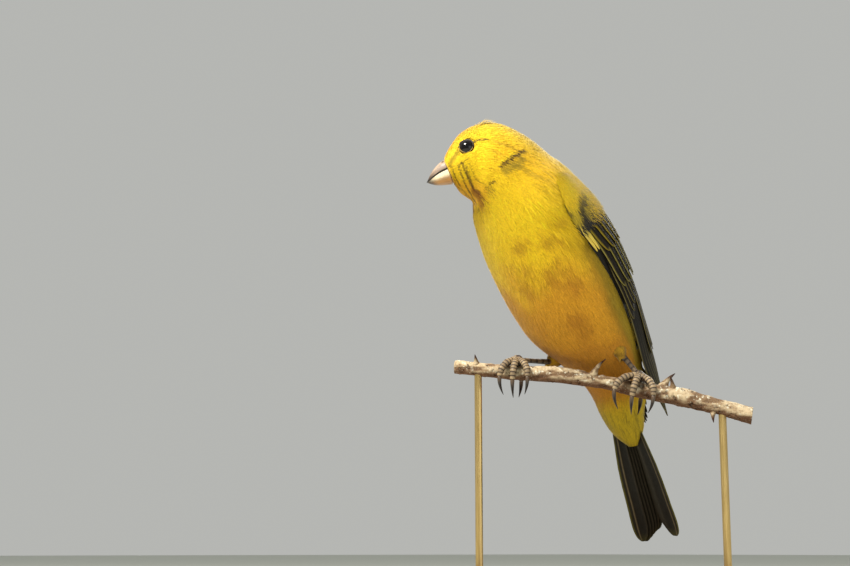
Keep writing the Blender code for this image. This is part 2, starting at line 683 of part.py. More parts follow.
def wrap_point(along, turn, clear):
    """A point round the branch: turn from its top toward its front, clear of the bark by this much."""
    forward, up, front = branch_axes(along)
    out = math.cos(turn) * up + math.sin(turn) * front
    return branch_axis(along) + (branch_radius(along) + clear) * out


def thigh(name, side, leg):
    """The feathered thigh, cut to the body with the gap."""
    hip, ankle = np.array(leg["hip"]), np.array(leg["ankle"])
    path = hip + (ankle - hip) * np.linspace(-0.75, 1, 8)[:, None]
    solid = tube(name, path, [0.5, 2.0, 2.9, 3.3, 3.2, 2.7, 2.0, 1.2], 12, (0.3, 1.0, 0.2))
    body = flesh("cutter", "chest", "covert_end", GAP, 0.0)
    return apply_boolean(solid, [body, shank("cutter", leg, GAP)], "DIFFERENCE", "MANIFOLD")


def shank(name, leg, grow=0.0):
    """The bare shank from the thigh into the pad of the foot, or the cutter for its socket."""
    ankle = np.array(leg["ankle"])
    foot = wrap_point(leg["foot_along"], 0.0, PAD_HEIGHT - SHANK_DEPTH)
    line = unit(foot - ankle)
    path = np.linspace(ankle + line * (GAP - 2 * grow), foot + line * grow, 4)
    return tube(name, path, SHANK_RADIUS * np.array([1.15, 1.0, 1.0, 1.0]) + grow, 10)


def toe_path(leg, toe):
    """The middle of a toe from the pad round the branch to its claw."""
    spread, start, end = TOES[toe]
    share = np.linspace(0, 1, len(TOE_SWELLS))
    places = leg["foot_along"] + leg["spread"] * spread * np.sin(share * math.pi / 2)
    turns = np.radians(start + (end - start) * share)
    heights = GAP + 1.08 * TOE_RADIUS + TOE_LIFT * share**2
    return np.array([wrap_point(*place) for place in zip(places, turns, heights)])


def foot(name, leg):
    """Four toes that close round the branch from a pad on its top, with a socket for the shank."""
    along = leg["foot_along"]
    middle = (GAP + PAD_HEIGHT) / 2
    pad = ball(name, wrap_point(along, 0.0, middle), (1.5, 1.5, middle - GAP), np.array(branch_axes(along))[[0, 2, 1]])
    toes = []
    for toe in TOES:
        toes.append(tube("toe", toe_path(leg, toe), TOE_RADIUS * np.array(TOE_SWELLS), 8))
    apply_boolean(pad, toes, "UNION", "MANIFOLD")
    return apply_boolean(pad, [shank("cutter", leg, GAP)], "DIFFERENCE", "MANIFOLD")


def claw(name, leg, toe):
    """A claw that goes on from a toe's end and curves down."""
    path = toe_path(leg, toe)
    tip, heading = path[-1], unit(path[-1] - path[-2])
    share = np.linspace(0, 1, 6)[:, None]
    way = unit(heading + CLAW_DROOP * np.array([0.0, 0.0, -1.0]))
    forward, _, front = branch_axes(leg["foot_along"])
    inward = -math.copysign(CLAW_HOOK, TOES[toe][2]) * front
    bend = inward - CLAW_LEAN * leg["spread"] * TOES[toe][0] * forward
    curve = tip + heading * GAP + CLAW_LENGTH * (share * way + share**2 * bend)
    return tube(name, curve, CLAW_RADIUS * (1 - 0.85 * share[:, 0] ** 1.5), 7, forward)


def build():
    for obj in list(bpy.data.objects):
        bpy.data.objects.remove(obj)
    yellow = (0.75, 0.52, 0.03)
    dark_feather = (0.09, 0.08, 0.03)
    horn = (0.62, 0.48, 0.40)
    leg_brown = (0.10, 0.06, 0.05)
    bark = (0.30, 0.24, 0.18)
    walnut = (0.16, 0.08, 0.04)
    brass = (0.75, 0.55, 0.25)
    finish(head("head"), yellow, 0.8)
    finish(flesh("neck", HEAD_END, NECK_END), yellow, 0.8)
    finish(flesh("torso", NECK_END, TORSO_END), yellow, 0.8)
    finish(tail("tail"), dark_feather, 0.75)
    finish(upper_bill("bill_upper"), horn, 0.4)
    finish(mandible("bill_lower", GONYS), horn, 0.4)
    for side_name, side in (("left", 1), ("right", -1)):
        leg = LEGS[side_name]
        eye = ball("eye_" + side_name, eye_centre(side), [EYE_RADIUS] * 3, eye_axes(side), 10, 18)
        finish(eye, (0.01, 0.008, 0.006), 0.05)
        finish(wing("wing_" + side_name, side), dark_feather, 0.75)
        finish(thigh("thigh_" + side_name, side, leg), yellow, 0.8)
        finish(shank("shank_" + side_name, leg), leg_brown, 0.5)
        finish(foot("foot_" + side_name, leg), leg_brown, 0.55)
        for toe in TOES:
            finish(claw(f"claw_{side_name}_{toe}", leg, toe), leg_brown, 0.3)
    finish(branch("branch"), bark, 0.85)
    finish(disc("stand_base"), walnut, 0.35)
    for index, place in enumerate(ROD_PLACES):
        finish(rod(f"stand_rod_{index + 1}", place), brass, 0.3, 1.0)


build()
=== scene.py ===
# %% [markdown]
# This lesson dresses a museum model of a yellow canary that grips a cut length of thorny branch. The solids
# of the frame already hold the true sizes. Here one skin covers the flesh, thousands of small solid
# feathers lie over it, and the wings, tail, bill, eyes, feet, bark and stand get their own shapes and
# finishes.

import math

import bpy
import numpy as np
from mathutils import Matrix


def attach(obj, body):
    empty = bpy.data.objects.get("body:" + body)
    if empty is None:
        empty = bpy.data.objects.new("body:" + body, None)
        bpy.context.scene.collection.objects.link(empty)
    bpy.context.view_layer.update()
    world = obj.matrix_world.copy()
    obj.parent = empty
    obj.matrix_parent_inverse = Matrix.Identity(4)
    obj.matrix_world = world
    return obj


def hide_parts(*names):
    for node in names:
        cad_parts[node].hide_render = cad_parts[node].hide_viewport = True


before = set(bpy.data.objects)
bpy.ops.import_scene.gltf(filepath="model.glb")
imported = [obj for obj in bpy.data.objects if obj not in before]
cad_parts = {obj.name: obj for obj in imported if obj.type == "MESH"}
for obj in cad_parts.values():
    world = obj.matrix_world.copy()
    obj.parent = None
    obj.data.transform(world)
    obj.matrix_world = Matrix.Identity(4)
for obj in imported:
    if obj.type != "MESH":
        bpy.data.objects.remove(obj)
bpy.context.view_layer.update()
print("nodes in the frame:", len(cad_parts))

# %% [markdown]
# All places are worked out in millimetres from the point of the branch's axis under the middle of the bird,
# as its maker measured them, and each mesh is moved to the frame's metres when it is made. Curves are read
# with a Catmull-Rom spline, so that few chosen numbers give a smooth shape.

# %% Numbers and smooth readings
MM = 0.001
GAP = 0.3
TO_FRAME = np.array([-7.9, -3.4, 57.0])
IMAGE_SIZE = (850, 566)
DRAW = np.random.default_rng(7)


def unit(vectors):
    """Vectors divided by their lengths."""
    vectors = np.asarray(vectors, float)
    return vectors / np.linalg.norm(vectors, axis=-1, keepdims=True)


def smooth_read(knots, places):
    """Catmull-Rom: p = ((2b) + (c-a)f + (2a-5b+4c-d)f^2 + (3b-3c+d-a)f^3) / 2 between knots b and c."""
    knots = np.asarray(knots, float)
    knots = np.concatenate([2 * knots[:1] - knots[1:2], knots, 2 * knots[-1:] - knots[-2:-1]])
    places = np.asarray(places, float)
    start = np.clip(np.floor(places).astype(int), 0, len(knots) - 4)
    f = (places - start).reshape(places.shape + (1,) * (knots.ndim - 1))
    a, b, c, d = (knots[start + step] for step in range(4))
    return (2 * b + (c - a) * f + (2 * a - 5 * b + 4 * c - d) * f**2 + (3 * b - 3 * c + d - a) * f**3) / 2


def read_at(places, stations, values):
    """Smooth reading of values that are given at uneven stations."""
    places = np.asarray(places, float)
    index = np.interp(places.ravel(), stations, np.arange(len(stations)))
    return smooth_read(np.asarray(values, float), index).reshape(places.shape)


def smoothstep(low, high, value):
    """3t^2 - 2t^3 with t the share of the way from low to high."""
    t = np.clip((np.asarray(value, float) - low) / (high - low), 0, 1)
    return t * t * (3 - 2 * t)


def value_noise(points, size, seed=0):
    """Random values on a lattice of this spacing, blended with smoothstep over the corners of a cell."""
    grid = np.asarray(points, float) / size
    cell = np.floor(grid).astype(np.int64)
    t = grid - cell
    t = t * t * (3 - 2 * t)
    total = np.zeros(grid.shape[:-1])
    for corner in np.ndindex(2, 2, 2):
        step = np.array(corner)
        key = (cell + step) @ np.array([73856093, 19349663, 83492791]) + 7919 * seed
        key = (key ^ (key >> 13)) * 1274126177 & 0x7FFFFFFF
        key = (key ^ (key >> 11)) * 69069 & 0x7FFFFFFF
        total += np.prod(np.where(step, t, 1 - t), axis=-1) * key / 0x7FFFFFFF
    return total


def rough_noise(points, size, seed=0, layers=3):
    """Value noise summed over layers, each with half the spacing and half the height of the last."""
    heights = 0.5 ** np.arange(layers)
    parts = [h * value_noise(points, size * h, seed + 11 * i) for i, h in enumerate(heights)]
    return np.sum(parts, axis=0) / heights.sum()


def colour(red, green, blue):
    """A colour from screen values of 0 to 255 to linear light: c = (s / 255) to the power 2.2."""
    return (np.array([red, green, blue]) / 255.0) ** 2.2


print("noise check:", round(float(rough_noise(np.array([1.0, 2.0, 3.0]), 4.0)), 3))

# %% [markdown]
# Every surface here is a closed tube of rings: the skin, a toe, a thorn and even a flat feather, whose ring
# runs out along its upper face and back along its lower one. One function therefore makes the faces, and
# many tubes of one kind go into one mesh as whole arrays. A map called OFBake gives each face its own place
# for the colours, and an attribute called marking holds the painted colour of each point.

# %% Meshes from rings
def tube_faces(rings, sides):
    """Triangles of a closed tube with a point at each end, and each corner's place as (side, ring)."""
    ring, side = np.meshgrid(np.arange(rings - 1), np.arange(sides), indexing="ij")
    ring, side = ring.ravel(), side.ravel()
    square = [[side, ring], [side + 1, ring], [side + 1, ring + 1], [side, ring + 1]]
    square = np.stack(square, 0).transpose(2, 0, 1)
    around = np.arange(sides)
    zero = np.zeros(sides)
    first = np.stack([[around + 0.5, zero - 0.5], [around + 1, zero], [around, zero]], 0).transpose(2, 0, 1)
    end = zero + rings - 1
    last = np.stack([[around + 0.5, end + 0.5], [around, end], [around + 1, end]], 0).transpose(2, 0, 1)
    corners = np.concatenate([square[:, [0, 1, 2]], square[:, [0, 2, 3]], first, last])
    index = (corners[..., 0].astype(int) % sides) + sides * corners[..., 1].astype(int)
    index = np.where(corners[..., 1] < 0, rings * sides, index)
    index = np.where(corners[..., 1] > rings - 1, rings * sides + 1, index)
    return index, corners


def tubes(rings):
    """Points of many closed tubes from an array (tube, ring, side, xyz), with the middle of each end ring."""
    rings = np.asarray(rings, float)
    flat = rings.reshape(len(rings), -1, 3)
    return np.concatenate([flat, rings[:, 0].mean(1)[:, None], rings[:, -1].mean(1)[:, None]], 1)


def strips(count, corners, rings, sides):
    """A cell of the unit square for each tube, its rings up the cell and its sides across it."""
    across = math.ceil(math.sqrt(count))
    cell = np.stack([np.arange(count) % across, np.arange(count) // across], 1)[:, None, None]
    inside = (corners - [0, -0.5]) / [sides, rings] * 0.92 + 0.04
    return (cell + inside[None]) / across


def make_mesh(name, points, faces, finish, marking=None, maps=None, normals=None):
    """A mesh object from points in millimetres and triangles, turned right side out by its signed volume."""
    points = ((np.asarray(points, float).reshape(-1, 3) + TO_FRAME) * MM).astype(np.float32)
    faces = np.asarray(faces, np.int32).reshape(-1, 3)
    corners = points[faces].astype(float)
    if np.linalg.det(corners - points.mean(0)).sum() < 0:
        faces = faces[:, ::-1]
        maps = {key: places.reshape(-1, 3, 2)[:, ::-1] for key, places in (maps or {}).items()}
    mesh = bpy.data.meshes.new(name)
    mesh.vertices.add(len(points))
    mesh.vertices.foreach_set("co", points.ravel())
    mesh.loops.add(faces.size)
    mesh.loops.foreach_set("vertex_index", np.ascontiguousarray(faces).ravel())
    mesh.polygons.add(len(faces))
    mesh.polygons.foreach_set("loop_start", np.arange(0, faces.size, 3, dtype=np.int32))
    mesh.update(calc_edges=True)
    for key, places in (maps or {}).items():
        layer = mesh.uv_layers.new(name=key)
        layer.uv.foreach_set("vector", np.ascontiguousarray(places, np.float32).ravel())
    if marking is not None:
        layer = mesh.attributes.new("marking", "FLOAT_COLOR", "POINT")
        rgba = np.concatenate([np.asarray(marking, float).reshape(-1, 3), np.ones((len(points), 1))], 1)
        layer.data.foreach_set("color", rgba.astype(np.float32).ravel())
    mesh.shade_smooth()
    if normals is not None:
        mesh.normals_split_custom_set_from_vertices(np.asarray(normals, float).reshape(-1, 3))
    mesh.materials.append(finish)
    obj = bpy.data.objects.new(name, mesh)
    bpy.context.scene.collection.objects.link(obj)
    return obj


def tube_mesh(name, rings, finish, marking=None):
    """One mesh of many closed tubes, its marking given for each point of the rings."""
    rings = np.asarray(rings, float)
    count, steps, sides = rings.shape[:3]
    faces, corners = tube_faces(steps, sides)
    points = tubes(rings)
    offsets = np.arange(count)[:, None, None] * points.shape[1]
    if marking is not None:
        marking = tubes(np.broadcast_to(marking, rings.shape))
    maps = {"OFBake": strips(count, corners, steps, sides)}
    return make_mesh(name, points, faces[None] + offsets, finish, marking, maps)


def show(piece, slot, *nodes):
    """Rides on the still body and stands for these nodes of the frame; the slot is not used."""
    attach(piece, "root")
    if nodes:
        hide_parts(*nodes)
    print(piece.name, len(piece.data.polygons), "triangles")


print("faces of a small tube:", len(tube_faces(4, 6)[0]))

# %% [markdown]
# Materials are drawn as sums. A small class wraps a socket of a shader node and lets Python's own operators
# add the Math nodes, so that a mask reads like a formula. Colours go through Mix nodes, because a Math node
# would turn them grey.

# %% Shader sums
class Value:
    """A number inside a material that takes +, - and * on either side."""

    def __init__(self, board, socket):
        self.board = board
        self.socket = socket

    def sum(self, operation, first, second):
        return self.board.add("ShaderNodeMath", {"operation": operation}, {0: first, 1: second})

    def __add__(self, other):
        return self.sum("ADD", self, other)

    def __sub__(self, other):
        return self.sum("SUBTRACT", self, other)

    def __rsub__(self, other):
        return self.sum("SUBTRACT", other, self)

    def __mul__(self, other):
        return self.sum("MULTIPLY", self, other)

    __radd__ = __add__
    __rmul__ = __mul__


class Board:
    """The nodes of one material, from any node type by its settings and inputs."""

    def __init__(self, name, **fixed):
        self.material = bpy.data.materials.new(name)
        self.material.use_nodes = True
        self.tree = self.material.node_tree
        self.shader = self.tree.nodes["Principled BSDF"]
        for key, value in fixed.items():
            self.shader.inputs[key.replace("_", " ")].default_value = value

    def plug(self, socket, value):
        if isinstance(value, Value):
            self.tree.links.new(value.socket, socket)
        else:
            socket.default_value = value

    def add(self, kind, settings=None, inputs=None, output=0):
        node = self.tree.nodes.new(kind)
        for key, value in (settings or {}).items():
            setattr(node, key, value)
        for key, value in (inputs or {}).items():
            self.plug(node.inputs[key], value)
        return Value(self, node.outputs[output])

    def painted(self, name="marking"):
        """The colour painted on the points."""
        return self.add("ShaderNodeAttribute", {"attribute_name": name})

    def place(self):
        """Object coordinates in metres."""
        return self.add("ShaderNodeTexCoord", output="Object")

    def noise(self, scale, detail=2.0, vector=None, stretch=None):
        vector = vector or self.place()
        if stretch:
            vector = self.add("ShaderNodeMapping", {}, {"Vector": vector, "Scale": stretch})
        return self.add("ShaderNodeTexNoise", {}, {"Vector": vector, "Scale": scale, "Detail": detail})

    def step(self, low, high, value):
        """A smooth step from 0 to 1 between these values."""
        wanted = {"interpolation_type": "SMOOTHSTEP"}
        return self.add("ShaderNodeMapRange", wanted, {"Value": value, "From Min": low, "From Max": high})

    def mix(self, factor, first, second, blend="MIX"):
        """A colour between two colours, or a blend of them."""
        first, second = (c if isinstance(c, Value) else (*c, 1.0) for c in (first, second))
        wanted = {"data_type": "RGBA", "blend_type": blend}
        return self.add("ShaderNodeMix", wanted, {0: factor, 6: first, 7: second}, 2)

    def finish(self, colour_value, roughness=None, bump=None, depth=0.0001, strength=0.5):
        """Feeds the shader: base colour, roughness and a bump of this depth in metres."""
        self.plug(self.shader.inputs["Base Color"], colour_value)
        if roughness is not None:
            self.plug(self.shader.inputs["Roughness"], roughness)
        if bump is not None:
            inputs = {"Height": bump, "Distance": depth, "Strength": strength}
            self.plug(self.shader.inputs["Normal"], self.add("ShaderNodeBump", {}, inputs))
        return self.material


print("shader helpers ready")

# %% [markdown]
# The camera comes early, because some markings are placed by where the photograph shows them: a ray from
# the camera through a pixel meets the bird, and the marking is painted at that place and its mirror place
# on the other side. The camera stands low in front of the bird's left side and looks up at it.

# %% Camera
CAMERA_PLACE = np.array([268.7, -268.7, -45.0])
CAMERA_YAW = math.radians(50.723)
CAMERA_PITCH = math.radians(10.492)
CAMERA_LENS = 61.154
SENSOR_WIDTH = 36.0
PIXELS_PER_UNIT = IMAGE_SIZE[0] * CAMERA_LENS / SENSOR_WIDTH
LOOK = np.array(
    [
        -math.sin(CAMERA_YAW) * math.cos(CAMERA_PITCH),
        math.cos(CAMERA_YAW) * math.cos(CAMERA_PITCH),
        math.sin(CAMERA_PITCH),
    ]
)
RIGHTWARD = np.array([math.cos(CAMERA_YAW), math.sin(CAMERA_YAW), 0.0])
UPWARD = np.cross(RIGHTWARD, LOOK)

camera_data = bpy.data.cameras.new("camera")
camera_data.lens = CAMERA_LENS
camera_data.sensor_width = SENSOR_WIDTH
camera_data.sensor_fit = "HORIZONTAL"
camera_data.clip_start = 0.01
camera = bpy.data.objects.new("camera", camera_data)
camera.location = (CAMERA_PLACE + TO_FRAME) * MM
camera.rotation_euler = (math.pi / 2 + CAMERA_PITCH, 0.0, CAMERA_YAW)
bpy.context.scene.collection.objects.link(camera)
bpy.context.scene.camera = camera


def ray_through(pixel):
    """Direction from the camera through a pixel: look + right (x - cx) / f - up (y - cy) / f."""
    across = (pixel[0] - IMAGE_SIZE[0] / 2) / PIXELS_PER_UNIT
    down = (pixel[1] - IMAGE_SIZE[1] / 2) / PIXELS_PER_UNIT
    return unit(LOOK + across * RIGHTWARD - down * UPWARD)


print("camera at", np.round(camera.location, 4))

# %% [markdown]
# The flesh of a bird is one smooth form from the root of the bill to the tail coverts. It is lofted through
# rings that lean with the body: each has a middle, a radius toward the belly, one toward the back and a
# half width. The skin lies inside the solids by the depth of the feathers, which then reach the true
# outline.

# %% The form of the body
RINGS = {
    "bill": (-11.9, -31.2, 52.7, 3.4, 3.4, 3.3, -23, 42, 5),
    "face": (-10.8, -30.0, 53.2, 6.1, 6.1, 5.7, -13, 42, 5),
    "lores": (-9.2, -28.1, 54.4, 8.7, 8.7, 7.5, -6, 42, 5),
    "eye": (-7.4, -26.1, 55.2, 10.2, 10.2, 8.4, 5, 42, 5),
    "ear": (-5.6, -24.2, 55.1, 11.0, 11.0, 9.0, 17, 42, 4),
    "crown": (-3.7, -22.1, 53.6, 11.4, 11.4, 9.8, 31, 36, 3),
    "nape": (-2.0, -20.2, 51.4, 12.2, 11.9, 11.0, 43, 26, 1),
    "collar": (0.0, -16.8, 46.6, 14.9, 13.1, 13.0, 51, 12, 0),
    "breast": (0.0, -9.6, 39.3, 17.9, 16.5, 15.7, 52, 3, 0),
    "chest": (0.0, -4.2, 32.2, 18.0, 17.3, 17.1, 53, 0, 0),
    "middle": (0.0, 1.0, 24.6, 17.2, 17.2, 17.2, 54, 0, 0),
    "belly": (0.0, 5.9, 17.0, 15.2, 16.2, 16.2, 55, 0, 0),
    "flank": (0.0, 12.0, 10.0, 11.4, 13.9, 14.2, 57, 0, 0),
    "vent": (0.0, 17.3, 4.7, 10.4, 10.6, 11.2, 62, 0, 0),
    "rump": (0.0, 19.8, -1.4, 8.3, 8.0, 8.3, 70, 0, 0),
    "coverts": (0.0, 20.4, -7.9, 6.0, 5.4, 6.2, 73, 0, 0),
    "covert_tips": (0.0, 22.3, -13.3, 3.6, 3.4, 4.6, 73, 0, 0),
    "covert_end": (0.0, 24.1, -17.2, 0.7, 0.7, 1.3, 73, 0, 0),
}
RING_NAMES = list(RINGS)
LAST_RING = len(RING_NAMES) - 1
WING_BED = 2.2


def ring_axes(values):
    """Tailward, backward-up and leftward directions of each ring from its pitch, turn and roll."""
    pitch, turn, roll = (np.radians(values[..., column])[..., None] for column in (6, 7, 8))
    zero = np.zeros_like(turn)
    rear = np.concatenate([np.sin(turn), np.cos(turn), zero], -1)
    level = np.concatenate([np.cos(turn), -np.sin(turn), zero], -1)
    up = np.array([0.0, 0.0, 1.0])
    tailward = np.cos(pitch) * rear - np.sin(pitch) * up
    dorsal = np.sin(pitch) * rear + np.cos(pitch) * up
    back = np.cos(roll) * dorsal - np.sin(roll) * level
    return tailward, back, np.cos(roll) * level + np.sin(roll) * dorsal


def body_point(place, angle, rise):
    """middle - (radius + rise) cos(angle) back + (width + rise) sin(angle) left; places count rings."""
    place, angle, rise = np.broadcast_arrays(place, angle, rise)
    values = smooth_read([RINGS[name] for name in RING_NAMES], np.clip(place, 0, LAST_RING - 0.02))
    _, dorsal, left = ring_axes(values)
    from_belly = np.degrees(np.arccos(np.cos(angle)))
    first, last = RING_NAMES.index("collar"), RING_NAMES.index("rump")
    under_wing = smoothstep(first - 0.2, first + 0.8, place) * (1 - smoothstep(last - 0.7, last + 0.3, place))
    bed = WING_BED * smoothstep(64, 84, from_belly) * under_wing
    radius = np.where(np.cos(angle) > 0, values[..., 3], values[..., 4]) + rise - bed
    wide = values[..., 5] + rise - bed
    lifted = values[..., :3] - (radius * np.cos(angle))[..., None] * dorsal
    return lifted + (wide * np.sin(angle))[..., None] * left


HEAD_VALUES = np.array(RINGS["face"])
HEAD_LEFT = ring_axes(HEAD_VALUES)[2]
HEAD_TURN = math.radians(HEAD_VALUES[7])
HEAD_FORWARD = np.array([-math.sin(HEAD_TURN), -math.cos(HEAD_TURN), 0.0])
HEAD_UP = np.cross(HEAD_FORWARD, HEAD_LEFT)
print("head looks along", np.round(HEAD_FORWARD, 2))

# %% [markdown]
# The eyes sit deep: each is a ball whose front alone shows inside a ring of lid. The skin is pressed in
# round them, and no feather may grow across them, so their places are needed before the skin.

# %% Places of the eyes
EYE_FORWARD = 1.6
EYE_HEIGHT = 56.9
EYE_ASIDE = 6.0
EYE_RADIUS = 2.2
LID_RADIUS = 1.95
LID_OUT = 1.25
SIDES = {"left": 1, "right": -1}


def eye_centre(side):
    """The ring's middle at the eye's height, moved forward and aside."""
    base = np.array([RINGS["eye"][0], RINGS["eye"][1], EYE_HEIGHT])
    return base + EYE_FORWARD * HEAD_FORWARD + side * EYE_ASIDE * HEAD_LEFT


def eye_axes(side):
    """Rows: two directions across the eye and the one it looks along, out and a little forward and up."""
    look = unit(side * HEAD_LEFT + 0.22 * HEAD_FORWARD + 0.12 * HEAD_UP)
    across = unit(np.cross(HEAD_UP, look))
    return np.array([across, np.cross(look, across), look])


def from_eye(points, side):
    """Distance aside of the line that the eye looks along, and distance out along that line."""
    away = np.asarray(points) - eye_centre(side)
    out = away @ eye_axes(side)[2]
    return np.sqrt(np.maximum((away**2).sum(-1) - out**2, 0)), out


print("left eye at", np.round(eye_centre(1), 2))

# %% [markdown]
# Markings, and the painted shade in the crease behind the cheek, are painted with strokes, each a line of a
# few places in the photograph, a half width and a colour. A pixel's ray is matched with the nearest point of
# the skin that faces the camera. The mirror image of the stroke paints the side that the photograph hides, as
# a bird's markings are alike on both sides, and the crease is too.

# %% Finding a pixel on the bird
SEEN_PLACES, SEEN_ANGLES = np.meshgrid(
    np.linspace(0, LAST_RING - 0.1, 400), np.linspace(-1.6, 4.2, 380), indexing="ij"
)
SEEN_POINTS = body_point(SEEN_PLACES, SEEN_ANGLES, 0.0)
SEEN_NORMALS = unit(np.cross(np.gradient(SEEN_POINTS, axis=0), np.gradient(SEEN_POINTS, axis=1)))
FACES_CAMERA = (SEEN_NORMALS * (CAMERA_PLACE - SEEN_POINTS)).sum(-1) > 0


def on_bird(pixel):
    """The (place, angle) of the skin point that faces the camera nearest to the ray through a pixel."""
    away = SEEN_POINTS - CAMERA_PLACE
    direction = ray_through(pixel)
    aside = np.linalg.norm(np.cross(away, direction), axis=-1)
    nearest = np.argmin(np.where(FACES_CAMERA, aside, np.inf))
    return SEEN_PLACES.flat[nearest], SEEN_ANGLES.flat[nearest]


def stroke_share(points, line, width):
    """1 on a line of pixels and its mirror image, falling to 0 at 1.5 widths: distance to each segment."""
    share = np.zeros(points.shape[:-1])
    places = np.array([on_bird(pixel) for pixel in line])
    for mirror in (1, -1):
        knots = body_point(places[:, 0], mirror * places[:, 1], 0.0)
        for start, end in zip(knots[:-1], knots[1:]):
            step = end - start
            t = np.clip((points - start) @ step / (step @ step), 0, 1)
            distance = np.linalg.norm(points - start - t[..., None] * step, axis=-1)
            share = np.maximum(share, 1 - smoothstep(0.4 * width, 1.5 * width, distance))
    return share


print("crease behind the cheek starts at", np.round(on_bird((497, 162)), 2))

# %% Colours of the plumage
YELLOW = colour(255, 212, 26)
DEEP_YELLOW = colour(254, 192, 20)
ORANGE = colour(244, 168, 34)
AMBER = colour(220, 152, 34)
RUSSET = colour(150, 86, 16)
BELLY_SHADE_BROWN = colour(178, 112, 34)
OLIVE_YELLOW = colour(196, 168, 36)
OLIVE = colour(138, 118, 30)
DUSK = colour(74, 60, 22)
BROWN = colour(58, 38, 16)

# Strokes: pixels along the line, half width in millimetres, colour, strength.
STROKES = (
    (((459, 150), (453, 158), (449, 165)), 0.7, DUSK, 0.5),
    (((471, 142), (480, 139)), 0.3, BROWN, 0.9),
    # Olive band below the crease behind the cheek: painted shade.
    (((500, 168), (508, 163), (515, 157)), 1.1, OLIVE, 0.7),
    (((492, 161), (500, 156), (508, 150)), 0.5, YELLOW, 0.8),
    # Dark line along the crease behind the cheek, where the ear coverts end: painted shade.
    (((496, 164), (504, 157), (511, 152), (518, 148)), 0.55, BROWN, 0.95),
    (((452, 170), (457, 182), (464, 193), (472, 203)), 0.22, BROWN, 0.75),
    (((449, 172), (454, 184), (460, 194)), 0.2, BROWN, 0.6),
    (((456, 167), (460, 178), (466, 189), (473, 200)), 0.26, BROWN, 0.85),
    (((459, 164), (464, 175), (470, 187), (476, 197)), 0.28, BROWN, 0.9),
    (((463, 167), (467, 178), (472, 188)), 0.2, BROWN, 0.7),
    (((466, 164), (470, 173), (474, 181)), 0.16, BROWN, 0.5),
    (((450, 168), (459, 165), (466, 159)), 0.2, BROWN, 0.5),
    (((471, 190), (476, 199)), 0.9, RUSSET, 0.7),
    (((479, 187), (483, 183), (488, 179)), 0.42, BROWN, 0.9),
    (((482, 190), (488, 185)), 0.3, BROWN, 0.6),
)
# Soft blotches of the breast and belly: pixel, radius in millimetres, strength.
BLOTCHES = (
    ((550, 212), 2.6, 0.5),
    ((514, 239), 2.4, 0.6),
    ((545, 236), 3.4, 0.6),
    ((519, 261), 3.0, 0.6),
    ((556, 261), 3.2, 0.55),
    ((546, 272), 3.0, 0.6),
    ((568, 275), 2.6, 0.55),
    ((522, 279), 2.6, 0.55),
    ((572, 314), 3.0, 0.6),
    ((579, 324), 2.4, 0.5),
)


def paint(base, over, share):
    """A colour laid over another by a share from 0 to 1."""
    return base + (over - base) * np.asarray(share)[..., None]


